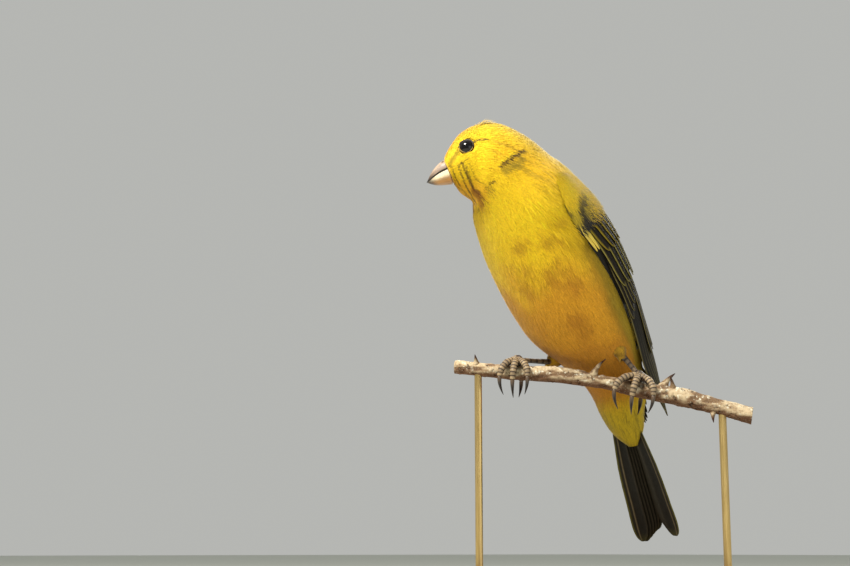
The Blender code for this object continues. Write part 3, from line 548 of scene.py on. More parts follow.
def plumage(place, angle):
    """The colour of the plumage at a place and angle of the skin, with painted shade on the underside of the
    belly and in the crease behind the cheek.
    """
    points = body_point(place, angle, 0.0)
    from_belly = np.degrees(np.arccos(np.cos(angle)))
    soft = rough_noise(points, 7.0, 3)
    fine = rough_noise(points, 1.6, 5)
    shades = np.broadcast_to(YELLOW, points.shape).copy()
    shades = paint(shades, DEEP_YELLOW, 0.5 * soft)
    hatch = rough_noise(np.stack([1.1 * place, 15 * np.sin(angle), 15 * np.cos(angle)], -1), 1.0, 31)
    low = smoothstep(7.4, 9.8, place - 2.2 * (soft - 0.5)) * (1 - smoothstep(13.2, 14.8, place))
    shades = paint(shades, AMBER, low * (1 - smoothstep(70, 100, from_belly)) * 0.95)
    blotch = np.zeros(points.shape[:-1])
    for pixel, radius, strength in BLOTCHES:
        middle = body_point(*on_bird(pixel), 0.0)
        distance = np.linalg.norm(points - middle, axis=-1) + 2.2 * (fine - 0.5) * radius
        blotch = np.maximum(blotch, strength * (1 - smoothstep(0.2 * radius, 1.4 * radius, distance)))
    # Browner colour over the amber on the underside of the lower belly: painted shade.
    underbelly_shade = smoothstep(9.6, 12.0, place - 2.0 * (soft - 0.5)) * (1 - smoothstep(13.4, 15.0, place))
    shades = paint(shades, BELLY_SHADE_BROWN, 0.62 * underbelly_shade * (1 - smoothstep(56, 96, from_belly)))
    shades = paint(shades, RUSSET, 0.75 * blotch)
    flank = smoothstep(58, 84, from_belly + 10 * (fine - 0.5)) * smoothstep(7.4, 8.6, place)
    shades = paint(shades, OLIVE, 0.75 * flank * (1 - smoothstep(13, 15, place)))
    shades = paint(shades, OLIVE_YELLOW, 0.9 * smoothstep(13.2, 15.0, place))
    head = 1 - smoothstep(6.2, 7.6, place)
    crown = smoothstep(142, 166, from_belly) * smoothstep(2.0, 4.2, place) * (1 - smoothstep(7.5, 9, place))
    shades = paint(shades, OLIVE, crown * smoothstep(0.45, 0.6, hatch))
    forehead = smoothstep(120, 160, from_belly) * (1 - smoothstep(1.6, 3.4, place))
    shades = paint(shades, ORANGE, 0.75 * forehead)
    ear = head * np.exp(-(((from_belly - 100) / 26) ** 2)) * smoothstep(3.2, 4.4, place)
    shades = paint(shades, DEEP_YELLOW, 0.7 * ear)
    shades = paint(shades, OLIVE, 0.5 * ear * smoothstep(0.48, 0.66, hatch))
    chin = (1 - smoothstep(34, 58, from_belly)) * (1 - smoothstep(3.6, 5.4, place))
    shades = paint(shades, ORANGE, 0.6 * chin)
    back = smoothstep(118, 140, from_belly) * smoothstep(6.8, 8.2, place)
    shades = paint(shades, OLIVE_YELLOW, back)
    shades = paint(shades, DUSK, back * smoothstep(0.5, 0.62, hatch) * 0.8)
    vent = smoothstep(13.6, 15.0, place) * smoothstep(0.56, 0.66, hatch)
    shades = paint(shades, OLIVE, 0.7 * vent)
    for line, width, over, strength in STROKES:
        shades = paint(shades, over, strength * stroke_share(points, line, width))
    return shades


print("upper breast colour:", np.round(plumage(np.array([8.0]), np.array([0.3])), 2))

# %% [markdown]
# The finish of a feather is matt and slightly silky. The painted marking gives its colour, a fine noise
# breaks it up as barbs do, and sheen on the shader gives the soft edge that down has against the light.

# %% Plumage finish
def plumage_finish(name, grain):
    """Painted colour, darkened a little by fine noise, with a soft sheen."""
    board = Board(name, Sheen_Weight=0.25, Sheen_Roughness=0.5, Specular_IOR_Level=0.25)
    speck = board.noise(grain, 3.0)
    shade = board.mix(board.step(0.3, 0.7, speck) * 0.22, board.painted(), (0.25, 0.2, 0.12), "MULTIPLY")
    return board.finish(shade, 0.62 + 0.2 * speck, speck, 0.00004, 0.4)


SKIN_FINISH = plumage_finish("skin_under_feathers", 1800.0)
COAT_FINISH = plumage_finish("small_feathers", 2600.0)
print("plumage finishes:", SKIN_FINISH.name, COAT_FINISH.name)

# %% [markdown]
# One skin runs from bill to tail coverts with no seam. It carries the same markings as the feathers, a
# little darker, because light hardly reaches between the feathers. Its map is its own unwrap: angle across,
# place up.

# %% The skin
SKIN_RINGS = 260
SKIN_SIDES = 120


def coat_depth(place):
    """Depth of the feathers over the skin: thin on the face, thicker on the body."""
    return read_at(place, (0, 1, 3, 6, 9, 13, 16, 17), (0.3, 0.4, 0.5, 0.7, 0.9, 0.8, 0.5, 0.3))


def on_unwrap(place, angle):
    """Where a point of the skin lies on its unwrap, inside the unit square."""
    across = np.mod(np.asarray(angle) / (2 * math.pi), 1.0)
    return np.stack([0.01 + 0.975 * across, 0.01 + 0.975 * np.asarray(place) / LAST_RING], -1)


def press_eyes(points):
    """Sinks the skin behind each eye: points near the line it looks along go back to a cup round the ball."""
    for side in SIDES.values():
        aside, out = from_eye(points, side)
        depth = np.sqrt(np.maximum(EYE_RADIUS**2 - aside**2, 0)) - 0.5
        sunk = (aside < LID_RADIUS + 0.1) & (out > depth)
        points = points - np.where(sunk, out - depth, 0)[..., None] * eye_axes(side)[2]
    return points


skin_turns = np.arange(SKIN_SIDES) * 2 * math.pi / SKIN_SIDES
skin_place, skin_angle = np.meshgrid(
    np.linspace(0, LAST_RING - 0.02, SKIN_RINGS), skin_turns, indexing="ij"
)
skin_rings = press_eyes(body_point(skin_place, skin_angle, -coat_depth(skin_place)))[None]
skin_faces, skin_corners = tube_faces(SKIN_RINGS, SKIN_SIDES)
skin_map = 0.01 + 0.975 * (skin_corners - [0, -0.5]) / [SKIN_SIDES, SKIN_RINGS]
skin_colours = tubes(0.8 * plumage(skin_place, skin_angle)[None])
skin = make_mesh("skin", tubes(skin_rings), skin_faces, SKIN_FINISH, skin_colours, {"OFBake": skin_map})
show(skin, "plumage_yellow", "head", "neck", "torso")

# %% [markdown]
# A small feather is a closed sliver: two rings of three corners and a tip, ten triangles. Its root sits in
# the skin and its middle line follows the surface tailward, so that it hugs the body as real contour
# feathers do. Its normals lean toward those of the body, so that thousands of slivers shade as one soft
# coat. Places are drawn from a low-discrepancy sequence, which spreads them evenly with no grid.

# %% Small feathers
TUFT_STEPS = np.array([0.0, 0.5])
TUFT_WIDTHS = np.array([0.7, 1.0])
TUFT_SIDES = [(0, 1, 4), (0, 4, 3), (1, 2, 5), (1, 5, 4), (2, 0, 3), (2, 3, 5)]
TUFT_FACES = np.array(TUFT_SIDES + [(3, 4, 6), (4, 5, 6), (5, 3, 6), (0, 2, 1)])
TUFT_MAP = np.array([(0, 0), (0.5, 0.2), (1, 0), (0, 0.5), (0.5, 0.6), (1, 0.5), (0.5, 1)])
TUFT_PATCH = 0.003
TUFT_ROUND = 0.35
TUFT_CROWN = 0.12
TUFT_VARY = 0.07


def even_places(count, seed=0.5):
    """Pairs of numbers from 0 to 1 spread evenly: the R2 sequence of multiples of 1/g and 1/g^2."""
    golden = 1.32471795724
    index = np.arange(count)[:, None]
    return np.mod(seed + index / np.array([golden, golden**2]), 1.0)


def tuft_points(surface, first, second, length, width, lift, turn):
    """Corners and normals of slivers on a surface, from the rise of the root to the rise of the tip."""
    tiny = 0.01
    step_on = surface(first + tiny, second, 0) - surface(first - tiny, second, 0)
    step_over = surface(first, second + tiny, 0) - surface(first, second - tiny, 0)
    along = np.linalg.norm(step_on, axis=-1) / (2 * tiny)
    around = np.linalg.norm(step_over, axis=-1) / (2 * tiny)
    steps = np.append(TUFT_STEPS, 1.0)[None]
    first_at = first[:, None] + (length * np.cos(turn) / along)[:, None] * steps
    second_at = second[:, None] + (length * np.sin(turn) / around)[:, None] * steps
    rise = lift[0][:, None] + (lift[1] - lift[0])[:, None] * steps**0.55
    half = 0.5 * width[:, None] * TUFT_WIDTHS
    over = half * np.sin(turn)[:, None] / along[:, None]
    across = half * np.cos(turn)[:, None] / around[:, None]
    corner = np.array([-1.0, 0.0, 1.0])
    firsts = first_at[:, :2, None] - over[..., None] * corner
    seconds = second_at[:, :2, None] + across[..., None] * corner
    rises = rise[:, :2, None] + TUFT_CROWN * width[:, None, None] * np.array([0.0, 1.0, 0.0])
    firsts = np.concatenate([firsts.reshape(len(first), 6), first_at[:, 2:]], 1)
    seconds = np.concatenate([seconds.reshape(len(first), 6), second_at[:, 2:]], 1)
    rises = np.concatenate([rises.reshape(len(first), 6), rise[:, 2:]], 1)
    points = surface(firsts, seconds, rises)
    outward = unit(surface(firsts, seconds, rises + 0.1) - points)
    aside = unit(points[:, 5] - points[:, 3])[:, None] * np.array([-1, 0, 1, -1, 0, 1, 0])[:, None]
    return points, unit(outward + TUFT_ROUND * aside)


def tuft_mesh(name, tufts, root_map, shades):
    """One mesh of slivers, each with its patch of the skin's unwrap and a colour for each of its points."""
    points, normals = tufts
    count, corners = points.shape[:2]
    faces = TUFT_FACES[None] + corners * np.arange(count)[:, None, None]
    places = root_map[:, None, None] + TUFT_PATCH * TUFT_MAP[TUFT_FACES][None]
    return make_mesh(name, points, faces, COAT_FINISH, shades, {"OFBake": places}, normals)


def tuft_shades(base, count, root=0.8):
    """Colours of the points: darker at the root as painted shade under the other feathers, full at the tip,
    each feather lighter or darker.
    """
    along = np.array([root] * 3 + [0.97] * 3 + [1.04])
    vary = np.exp(TUFT_VARY * DRAW.standard_normal(count))[:, None]
    return np.clip(base[:, None] * (along * vary)[..., None], 0, 1)


# Coat by stretches of the body: first and last ring, feathers, length, width and the rise of the tips.
COATS = {
    "coat_face": (0.05, 3.2, 15500, 1.25, 0.22, 0.05),
    "coat_head": (2.9, 6.4, 19500, 2.2, 0.3, 0.06),
    "coat_neck": (6.0, 7.8, 16000, 3.2, 0.36, 0.06),
    "coat_breast": (7.4, 9.6, 19500, 3.7, 0.4, 0.06),
    "coat_chest": (9.2, 11.4, 17000, 4.0, 0.42, 0.06),
    "coat_belly": (11.0, 13.6, 16000, 4.0, 0.42, 0.06),
    "coat_vent": (13.2, 16.9, 14000, 3.8, 0.42, 0.05),
}


def keep_clear(points, place, angle):
    """True for feathers that touch no eye and don't lie hidden under the folded wings."""
    keep = np.ones(len(points), bool)
    for side in SIDES.values():
        aside, out = from_eye(points, side)
        keep &= ~((aside < LID_RADIUS + 0.12) & (out > 0)).any(1)
    from_belly = np.degrees(np.arccos(np.cos(angle)))
    return keep & ~((from_belly > 100) & (place > 8.2) & (place < 13.4))


def make_coat(name, start, end, count, length, width, lift, seed):
    """A stretch of coat, its feathers spread by area, turned a little and lengthened at random."""
    spread = even_places(count, seed)
    table = np.linspace(start, end, 60)
    girth = read_at(table, np.arange(len(RINGS)), [ring[3] + ring[5] for ring in RINGS.values()])
    filled = np.concatenate([[0], np.cumsum(girth[1:])]) / girth[1:].sum()
    place = np.interp(spread[:, 0], filled, table)
    angle = 2 * math.pi * spread[:, 1]
    near_bill = smoothstep(0, 1.2, place)
    length = length * (0.45 + 0.55 * near_bill) * np.exp(0.16 * DRAW.standard_normal(count))
    width = width * (0.7 + 0.3 * near_bill) * np.exp(0.15 * DRAW.standard_normal(count))
    turn = np.radians(5) * DRAW.standard_normal(count)
    turn += 0.6 * (rough_noise(body_point(place, angle, 0), 7.0, 21) - 0.5)
    deep = coat_depth(place)
    tips = lift + 0.06 * DRAW.standard_normal(count)
    points, normals = tuft_points(body_point, place, angle, length, width, (-deep - 0.1, tips), turn)
    keep = keep_clear(points, place, angle)
    shades = tuft_shades(plumage(place[keep], angle[keep]), keep.sum())
    return tuft_mesh(name, (points[keep], normals[keep]), on_unwrap(place, angle)[keep], shades)


for number, (coat_name, numbers) in enumerate(COATS.items()):
    show(make_coat(coat_name, *numbers, seed=0.5 + 0.13 * number), "plumage_yellow")

# %% [markdown]
# A folded wing lies in a frame of its own, square to the line from wrist to tip. A point of it is given by
# its distance behind the wrist, its angle up from the low edge and its depth under the face. The tip of the
# right wing crosses under the left one.

# %% The form of a folded wing
WING_PITCH = math.radians(48.2)
WRIST = (15.3, -14.2, 43.0)
WING_BEHIND_WRIST = (-6, 0, 8, 16, 25, 34, 43, 51, 60, 70)
WING_HALF_WIDTH = (14.2, 15.4, 16.5, 17.2, 17.0, 16.1, 13.8, 11.2, 8.6, 5.8)
WING_LOW_EDGE = (20.5, 18.1, 16.5, 16.8, 16.6, 15.6, 14.7, 14.1, 15.0, 17.1)
WING_RIDGE = (28.5, 32.4, 35.2, 35.6, 34.2, 32.0, 30.0, 28.6, 25.6, 21.0)
RIGHT_TIP_ACROSS = 3.2
RIGHT_TIP_DROP = 2.4


def wing_sizes(behind):
    """Half width, low edge and ridge of the wing at a distance behind the wrist."""
    rows = (WING_HALF_WIDTH, WING_LOW_EDGE, WING_RIDGE)
    return (read_at(behind, WING_BEHIND_WRIST, row) for row in rows)


def wing_points(side, behind, angle, depth):
    """(wide cos angle, low + tall sin angle) less depth along the normal of that ellipse."""
    behind, angle, depth = np.broadcast_arrays(behind, angle, depth)
    wide, low, ridge = wing_sizes(behind)
    tall = ridge - low
    normal = unit(np.stack([np.cos(angle) * tall, np.sin(angle) * wide], -1))
    sideways = wide * np.cos(angle) - depth * normal[..., 0]
    height = low + tall * np.sin(angle) - depth * normal[..., 1]
    if side < 0:
        bend = np.clip((behind - 40) / 30, 0, None) ** 2
        height = height - RIGHT_TIP_DROP * bend
        sideways = RIGHT_TIP_ACROSS * bend - sideways
    rearward = np.array([0.0, math.cos(WING_PITCH), -math.sin(WING_PITCH)])
    upward = np.array([0.0, math.sin(WING_PITCH), math.cos(WING_PITCH)])
    start = np.dot(WRIST, rearward)
    along = (behind + start)[..., None] * rearward + height[..., None] * upward
    return sideways[..., None] * np.array([1.0, 0.0, 0.0]) + along


print("left wing tip:", np.round(wing_points(1, 70.0, 0.2, 0.3), 1))

# %% [markdown]
# A flight feather is a thin vane on a shaft. Its grid runs from quill to tip and from the near edge to the
# far one, then back along the lower face, as one closed ring. The outline narrows to the quill and rounds
# off at the tip, the shaft stands proud as a ridge, and the edges are nicked a little where barbs have
# parted.

# %% Vanes
VANE_RINGS = 34
VANE_ACROSS = np.array([0.0, 0.05, 0.12, 0.24, 0.31, 0.38, 0.58, 0.8, 0.92, 1.0])
SHAFT_AT = 0.31
VANE_THICK = 0.13


def vane_outline(share, point):
    """Share of the full width: narrow at the quill, full from a third on, and closing as a rounded point."""
    grow = 0.3 + 0.7 * smoothstep(0.0, 0.35, share)
    close = np.sqrt(np.maximum(1 - np.clip((share - 1 + point) / point, 0, 1) ** 2.2, 0.0))
    return grow * np.maximum(close, 0.05)


def vane_rings(surface, start, end, near, span, depths, tilt, point, lean, seed):
    """Rings of a vane on a surface(behind, angle, depth): near edge, span, depth at quill and tip, tilt."""
    share = 1 - (1 - np.linspace(0, 1, VANE_RINGS)) ** 1.5
    behind = start + (end - start) * share
    width = vane_outline(share, point)
    nick = 0.03 * (rough_noise(np.stack([behind, 0 * behind, 0 * behind + seed], -1), 1.1, seed) - 0.5)
    edge = near[0] + (near[1] - near[0]) * share + lean * span * (1 - width)
    angle = edge[:, None] + span * (width * (1 + nick))[:, None] * VANE_ACROSS
    face = depths[0] + (depths[1] - depths[0]) * share
    camber = -0.35 * 4 * VANE_ACROSS * (1 - VANE_ACROSS) * width[:, None] * tilt
    ridge = -0.12 * np.exp(-(((VANE_ACROSS - SHAFT_AT) / 0.035) ** 2)) * (1 - 0.7 * share[:, None])
    depth = face[:, None] + tilt * width[:, None] * VANE_ACROSS + camber
    upper = surface(behind[:, None], angle, depth + ridge)
    lower = surface(behind[:, None], angle, depth + VANE_THICK - 0.6 * ridge)
    return np.concatenate([upper, lower[:, ::-1]], 1), np.broadcast_to(share[:, None], angle.shape)


def vane_shades(share, dark, fringe, edge_width=0.1, tip=0.5, inner=None, shaft=None, low_face=None):
    """Dark vane, a fringe along its outer edge and round its tip, a paler inner edge, and the shaft."""
    across = np.broadcast_to(VANE_ACROSS, share.shape)
    outer = (1 - smoothstep(0.4 * edge_width, 1.4 * edge_width, across)) * smoothstep(0.1, 0.3, share)
    shades = np.broadcast_to(dark, share.shape + (3,)) * (0.75 + 0.35 * share)[..., None]
    if inner is not None:
        shades = paint(shades, inner, 0.8 * smoothstep(0.86, 0.97, across))
    shades = paint(shades, fringe, np.maximum(outer, tip * smoothstep(0.93, 1.0, share)))
    line = np.exp(-(((across - SHAFT_AT) / 0.03) ** 2))
    shades = paint(shades, dark * 0.5 if shaft is None else shaft, 0.8 * line)
    under = shades * 0.8 if low_face is None else paint(shades, low_face, 0.85 * (1 - line))
    return np.concatenate([shades, under[:, ::-1]], 1)


def vane_finish(name):
    """Painted colour with fine slanting lines for the barbs, read from the feather's own map."""
    board = Board(name, Specular_IOR_Level=0.16)
    place = board.add("ShaderNodeUVMap", {"uv_map": "barbs"})
    parts = board.tree.nodes.new("ShaderNodeSeparateXYZ")
    board.plug(parts.inputs[0], place)
    across, along = Value(board, parts.outputs[0]), Value(board, parts.outputs[1])
    slant = board.add("ShaderNodeMath", {"operation": "ABSOLUTE"}, {0: across - SHAFT_AT}) * 0.5
    lines = board.add("ShaderNodeMath", {"operation": "SINE"}, {0: (along - slant) * 420.0})
    speck = board.noise(900.0, 3.0)
    shade = board.mix(board.step(0.35, 0.75, speck) * 0.3, board.painted(), (0.45, 0.42, 0.36), "MULTIPLY")
    return board.finish(shade, 0.5 + 0.15 * speck, 0.5 + 0.5 * lines, 0.00005, 0.35)


VANE_FINISH = vane_finish("flight_feathers")


def vane_mesh(name, vanes, shades):
    """Many vanes as one mesh, with a map of (across, along) for the barbs and one cell each in OFBake."""
    rings = np.array(vanes)
    count, steps, sides = rings.shape[:3]
    faces, corners = tube_faces(steps, sides)
    offsets = np.arange(count)[:, None, None] * (steps * sides + 2)
    turn = np.mod(corners[..., 0], sides)
    ring = np.r_[VANE_ACROSS, VANE_ACROSS[::-1], VANE_ACROSS[:1]]
    level = np.interp(turn, np.arange(sides + 1), ring)
    barbs = np.stack([level, np.clip(corners[..., 1] / (steps - 1), 0, 1)], -1)
    maps = {
        "OFBake": strips(count, corners, steps, sides),
        "barbs": np.broadcast_to(barbs, (count, *barbs.shape)),
    }
    return make_mesh(name, tubes(rings), faces[None] + offsets, VANE_FINISH, tubes(np.array(shades)), maps)


print("points in a vane:", VANE_RINGS * 2 * len(VANE_ACROSS))

# %% [markdown]
# The wing's feathers lie in tiers like roof tiles. Nine primaries reach the tip, six secondaries and three
# tertials lie over their bases, and rows of coverts cover the quills. All are near black-brown with a
# fringe of yellow-olive, which shows as fine pale lines along the closed wing. Two pale yellow feathers lie
# at the front of its low edge.

# %% Feathers of the wings
DARK_FEATHER = colour(28, 23, 15)
FRINGE = colour(120, 108, 62)
PALE_FRINGE = colour(138, 126, 62)
PALE_WEB = colour(216, 188, 84)
UNDERSIDE = colour(56, 50, 40)
PRIMARY_TIPS = (67.6, 69.4, 70.0, 69.8, 69.2, 68.0, 66.2, 63.6, 60.0)
TERTIAL_TIPS = (49.0, 44.5, 39.0)


def span_of(behind, width):
    """The angle that a width in millimetres takes up at a distance behind the wrist."""
    wide, low, ridge = wing_sizes(np.array(behind, float))
    return float(width / (0.5 * (wide + ridge - low)))


def tier(side, count, start, ends, near, width, depths, tilt, paint_by, point=0.22, lean=0.35, seed=0):
    """A row of vanes: near gives the low edge at quill and tip of the first, and the steps to the next."""

    def surface(behind, angle, depth):
        return wing_points(side, behind, angle, depth)

    vanes, shades = [], []
    for index in range(count):
        end = ends[index] if np.ndim(ends) else ends
        low = (near[0] + near[2] * index, near[1] + near[3] * index)
        span = span_of(0.6 * start + 0.4 * end, width)
        rings, share = vane_rings(surface, start, end, low, span, depths, tilt, point, lean, seed + index)
        vanes.append(rings)
        shades.append(vane_shades(share, **paint_by))
    return vanes, shades


def wing_tiers(side):
    """Every vane of one wing, from the flight feathers up to the rows of coverts."""
    flight = {"dark": DARK_FEATHER, "fringe": FRINGE, "edge_width": 0.06, "tip": 0.3, "low_face": UNDERSIDE}
    tertial = {"dark": DARK_FEATHER, "fringe": PALE_FRINGE, "edge_width": 0.09, "tip": 0.5}
    covert = {"dark": DARK_FEATHER, "fringe": PALE_FRINGE, "edge_width": 0.1, "tip": 0.6}
    small = {"dark": DARK_FEATHER, "fringe": OLIVE, "edge_width": 0.13, "tip": 0.8}
    edge = {"dark": PALE_WEB, "fringe": PALE_WEB, "edge_width": 0.1, "tip": 0.3}
    ends = [51.3 - 0.5 * index for index in range(6)]
    quill = (37, 35.5, 34, 33, 32, 31)
    greater = [28 + 0.3 * index for index in range(9)]
    median = [17.5 + 0.5 * index for index in range(9)]
    rows = [
        tier(side, 9, 22, PRIMARY_TIPS, (0.0, 0.12, 0.05, 0.126), 4.6, (1.25, 0.3), 0.75, flight, seed=1),
        tier(side, 6, 20, ends, (0.38, 0.42, 0.11, 0.13), 5.2, (1.2, 0.1), 0.75, flight, seed=20),
        tier(side, 3, 14, TERTIAL_TIPS, (1.02, 1.02, 0.13, 0.13), 5.6, (0.8, -0.1), 0.6, tertial, seed=40),
        tier(side, 6, 18, quill, (-0.02, 0.02, 0.07, 0.085), 3.2, (0.6, 0.3), 0.5, flight, seed=50),
        tier(side, 9, 8, greater, (0.03, 0.03, 0.15, 0.15), 3.9, (0.45, 0.0), 0.6, covert, 0.3, 0.5, seed=60),
        tier(side, 9, 2, median, (0.05, 0.05, 0.15, 0.15), 3.6, (0.15, -0.15), 0.5, small, 0.4, 0.5, seed=80),
        tier(side, 2, 2, 15.0, (-0.06, -0.1, 0.06, 0.05), 1.3, (0.1, -0.3), 0.3, edge, 0.6, 0.3, seed=95),
    ]
    return sum((row[0] for row in rows), []), sum((row[1] for row in rows), [])


for side_name, side in SIDES.items():
    vanes, shades = wing_tiers(side)
    show(vane_mesh("wing_vanes_" + side_name, vanes, shades), "feather_dark", "wing_" + side_name)

# %% [markdown]
# Under the vanes each wing has a thin body of its own, the arm and its skin, which closes the view between
# the quills. Small feathers lie over its bend and turn from yellow through streaked green-yellow to near
# black. Those of the back, the mantle, bridge the two wings and cover their upper edges.

# %% Arm, shoulder and mantle
ARM_BEHIND = np.linspace(-2.5, 46, 30)


def arm_rings(side):
    """A flat tube under the vanes: outer side under the face, inner side toward the body."""
    low = read_at(ARM_BEHIND, (-5, 1, 10, 46), (0.25, 0.02, -0.04, 0.12))
    high = read_at(ARM_BEHIND, (-5, 1, 10, 46), (0.6, 1.2, 1.45, 1.3))
    top = read_at(ARM_BEHIND, (-5, 5, 9, 14, 28, 46), (0.1, 0.2, 0.4, 0.95, 1.5, 1.9))
    thick = read_at(ARM_BEHIND, (-5, 5, 30, 46), (2.3, 2.7, 2.6, 2.1))
    across = np.linspace(0, 1, 14)[None]
    angle = low[:, None] + (high - low)[:, None] * across
    bulge = 4 * across * (1 - across)
    outer = wing_points(side, ARM_BEHIND[:, None], angle, top[:, None] + 0.5 * (1 - bulge**0.4))
    deep = top[:, None] + (thick - top)[:, None] * (0.5 + 0.5 * bulge**0.3)
    inner = wing_points(side, ARM_BEHIND[:, None], angle, deep)
    return np.concatenate([outer, inner[:, ::-1]], 1)


arm_sets = np.array([arm_rings(side) for side in SIDES.values()])
arm_front = np.broadcast_to(1 - smoothstep(-1.0, 4.0, ARM_BEHIND)[:, None], arm_sets.shape[:-1])
arm_shades = paint(np.broadcast_to(DARK_FEATHER * 0.8, arm_sets.shape), YELLOW * 0.85, arm_front)
show(tube_mesh("wing_arms", arm_sets, COAT_FINISH, arm_shades), "feather_dark")


def shoulder_point(side, behind, angle, rise):
    """The wing's face, sunk to the body's level in front of the wrist."""
    behind, angle, rise = np.broadcast_arrays(behind, angle, rise)
    sunk = 2.4 * (1 - smoothstep(-9.0, -3.5, behind)) * (1 - smoothstep(0.5, 1.1, angle))
    return wing_points(side, behind, angle, sunk - rise)


def shoulder_shades(behind, angle):
    """Yellow in front of the wrist, then green-yellow with dark streaks, then near black with olive edges."""
    fine = rough_noise(np.stack([behind, 9 * angle, 0 * behind], -1) * np.array([0.35, 1, 1]), 1.0, 27)
    shades = paint(np.broadcast_to(YELLOW, (*behind.shape, 3)), DEEP_YELLOW, 0.6 * fine)
    shades = paint(shades, OLIVE_YELLOW, 0.8 * smoothstep(-2.0, 2.0, behind + 2.0 * (fine - 0.5)))
    shades = paint(shades, OLIVE, smoothstep(1.0, 4.0, behind + 3.0 * (fine - 0.5)) * 0.6)
    shades = paint(shades, DARK_FEATHER, smoothstep(0.45, 0.6, fine) * smoothstep(-2.0, 1.5, behind) * 0.85)
    return paint(shades, DARK_FEATHER * 1.2, smoothstep(3.0, 5.5, behind + 3.0 * (fine - 0.5)))


def back_shades(behind, angle):
    """Green-yellow with a dark streak on each feather, darker toward the rump."""
    fine = rough_noise(np.stack([behind, 9 * angle, 0 * behind], -1) * np.array([0.3, 1, 1]), 1.0, 29)
    shades = paint(np.broadcast_to(OLIVE_YELLOW, (*behind.shape, 3)), OLIVE, smoothstep(-3, 12, behind) * 0.7)
    shades = paint(shades, YELLOW, 0.5 * (1 - smoothstep(-6, -1, behind)))
    return paint(shades, DARK_FEATHER * 1.3, 0.85 * smoothstep(0.5, 0.62, fine))


def lie_over(name, side, count, behind, angles, length, width, lift, shade_by, seed):
    """Small feathers on the wing's face that point to its tip."""

    def surface(behind, angle, rise):
        return shoulder_point(side, behind, angle, rise)

    spread = even_places(count, seed)
    first = behind[0] + (behind[1] - behind[0]) * spread[:, 0]
    second = angles[0] + (angles[1] - angles[0]) * spread[:, 1]
    length = length * np.exp(0.12 * DRAW.standard_normal(count))
    width = width * np.exp(0.12 * DRAW.standard_normal(count))
    turn = np.radians(5) * DRAW.standard_normal(count)
    rise = (0 * first + lift[0], lift[1] + 0.06 * DRAW.standard_normal(count))
    tufts = tuft_points(surface, first, second, length, width, rise, turn)
    root = 0.02 + 0.9 * spread
    return tuft_mesh(name, tufts, root, tuft_shades(shade_by(first, second), count))


SHOULDER = {
    "count": 5200,
    "behind": (-9.5, 7.0),
    "angles": (-0.12, 1.35),
    "length": 3.4,
    "width": 0.42,
    "lift": (-0.9, 0.25),
    "shade_by": shoulder_shades,
    "seed": 0.3,
}
MANTLE = {
    "count": 7000,
    "behind": (-6.0, 24.0),
    "angles": (1.05, 2.1),
    "length": 4.6,
    "width": 0.6,
    "lift": (-0.6, 0.35),
    "shade_by": back_shades,
    "seed": 0.7,
}
for side_name, side in SIDES.items():
    show(lie_over("shoulder_" + side_name, side, **SHOULDER), "plumage_yellow")
show(lie_over("mantle", 1, **MANTLE), "plumage_yellow")

# %% [markdown]
# A bird tucks the bend of its wing under the feathers of its breast. Long feathers therefore start on the
# body in front of the wing, and their tips rise over its front edge. Their rise fades out toward the belly
# and behind the wing's bend.

# %% Breast feathers over the wing's front edge
# Places in rings, and angles in degrees from the belly.
OVERLAP_PLACES = (6.0, 8.3)
OVERLAP_DEGREES = (58.0, 158.0)
OVERLAP_COUNT = 5200
OVERLAP_RISE = 2.5


def breast_side(side_name, side):
    """Long feathers of the breast's side whose tips rise over the wing's bend."""
    spread = even_places(OVERLAP_COUNT, 0.21 + 0.1 * side)
    place = OVERLAP_PLACES[0] + (OVERLAP_PLACES[1] - OVERLAP_PLACES[0]) * spread[:, 0]
    degrees = OVERLAP_DEGREES[0] + (OVERLAP_DEGREES[1] - OVERLAP_DEGREES[0]) * spread[:, 1]
    angle = side * np.radians(degrees)
    rise = OVERLAP_RISE * smoothstep(6.0, 7.4, place) * (1 - 0.75 * smoothstep(7.9, 8.4, place))
    rise = rise * smoothstep(56, 74, degrees) + 0.06 * DRAW.standard_normal(OVERLAP_COUNT)
    length = 5.0 * np.exp(0.12 * DRAW.standard_normal(OVERLAP_COUNT))
    width = 0.44 * np.exp(0.12 * DRAW.standard_normal(OVERLAP_COUNT))
    turn = np.radians(5) * DRAW.standard_normal(OVERLAP_COUNT)
    tufts = tuft_points(body_point, place, angle, length, width, (0 * place - 0.5, rise), turn)
    shades = tuft_shades(plumage(place, angle), OVERLAP_COUNT)
    return tuft_mesh("breast_side_" + side_name, tufts, on_unwrap(place, angle), shades)


for side_name, side in SIDES.items():
    show(breast_side(side_name, side), "plumage_yellow")

# %% [markdown]
# A few feathers of the crown stand up from the others. They make a small patch at a pixel of the
# photograph.

# %% Raised feathers of the crown
CREST_AT = (481, 124)
CREST_COUNT = 26


def crest():
    """Raised feathers in a small patch of the crown."""
    place, angle = on_bird(CREST_AT)
    place = place + 0.22 * DRAW.standard_normal(CREST_COUNT)
    angle = angle + 0.07 * DRAW.standard_normal(CREST_COUNT)
    ones = np.ones(CREST_COUNT)
    turn = np.radians(12) * DRAW.standard_normal(CREST_COUNT)
    tips = 0.75 + 0.25 * DRAW.standard_normal(CREST_COUNT)
    tufts = tuft_points(body_point, place, angle, 2.4 * ones, 0.3 * ones, (-0.5 * ones, tips), turn)
    shades = tuft_shades(plumage(place, angle), CREST_COUNT)
    return tuft_mesh("crest", tufts, on_unwrap(place, angle), shades)


show(crest(), "plumage_yellow")

# %% [markdown]
# The tail hangs below the coverts as twelve vanes in two halves with a notch between. The middle pair lies
# on top and each pair further out lies lower, so that from below the outer feathers show in full. They are
# dark grey-brown with tan shafts, slightly paler inner edges and a yellow-green outer edge.

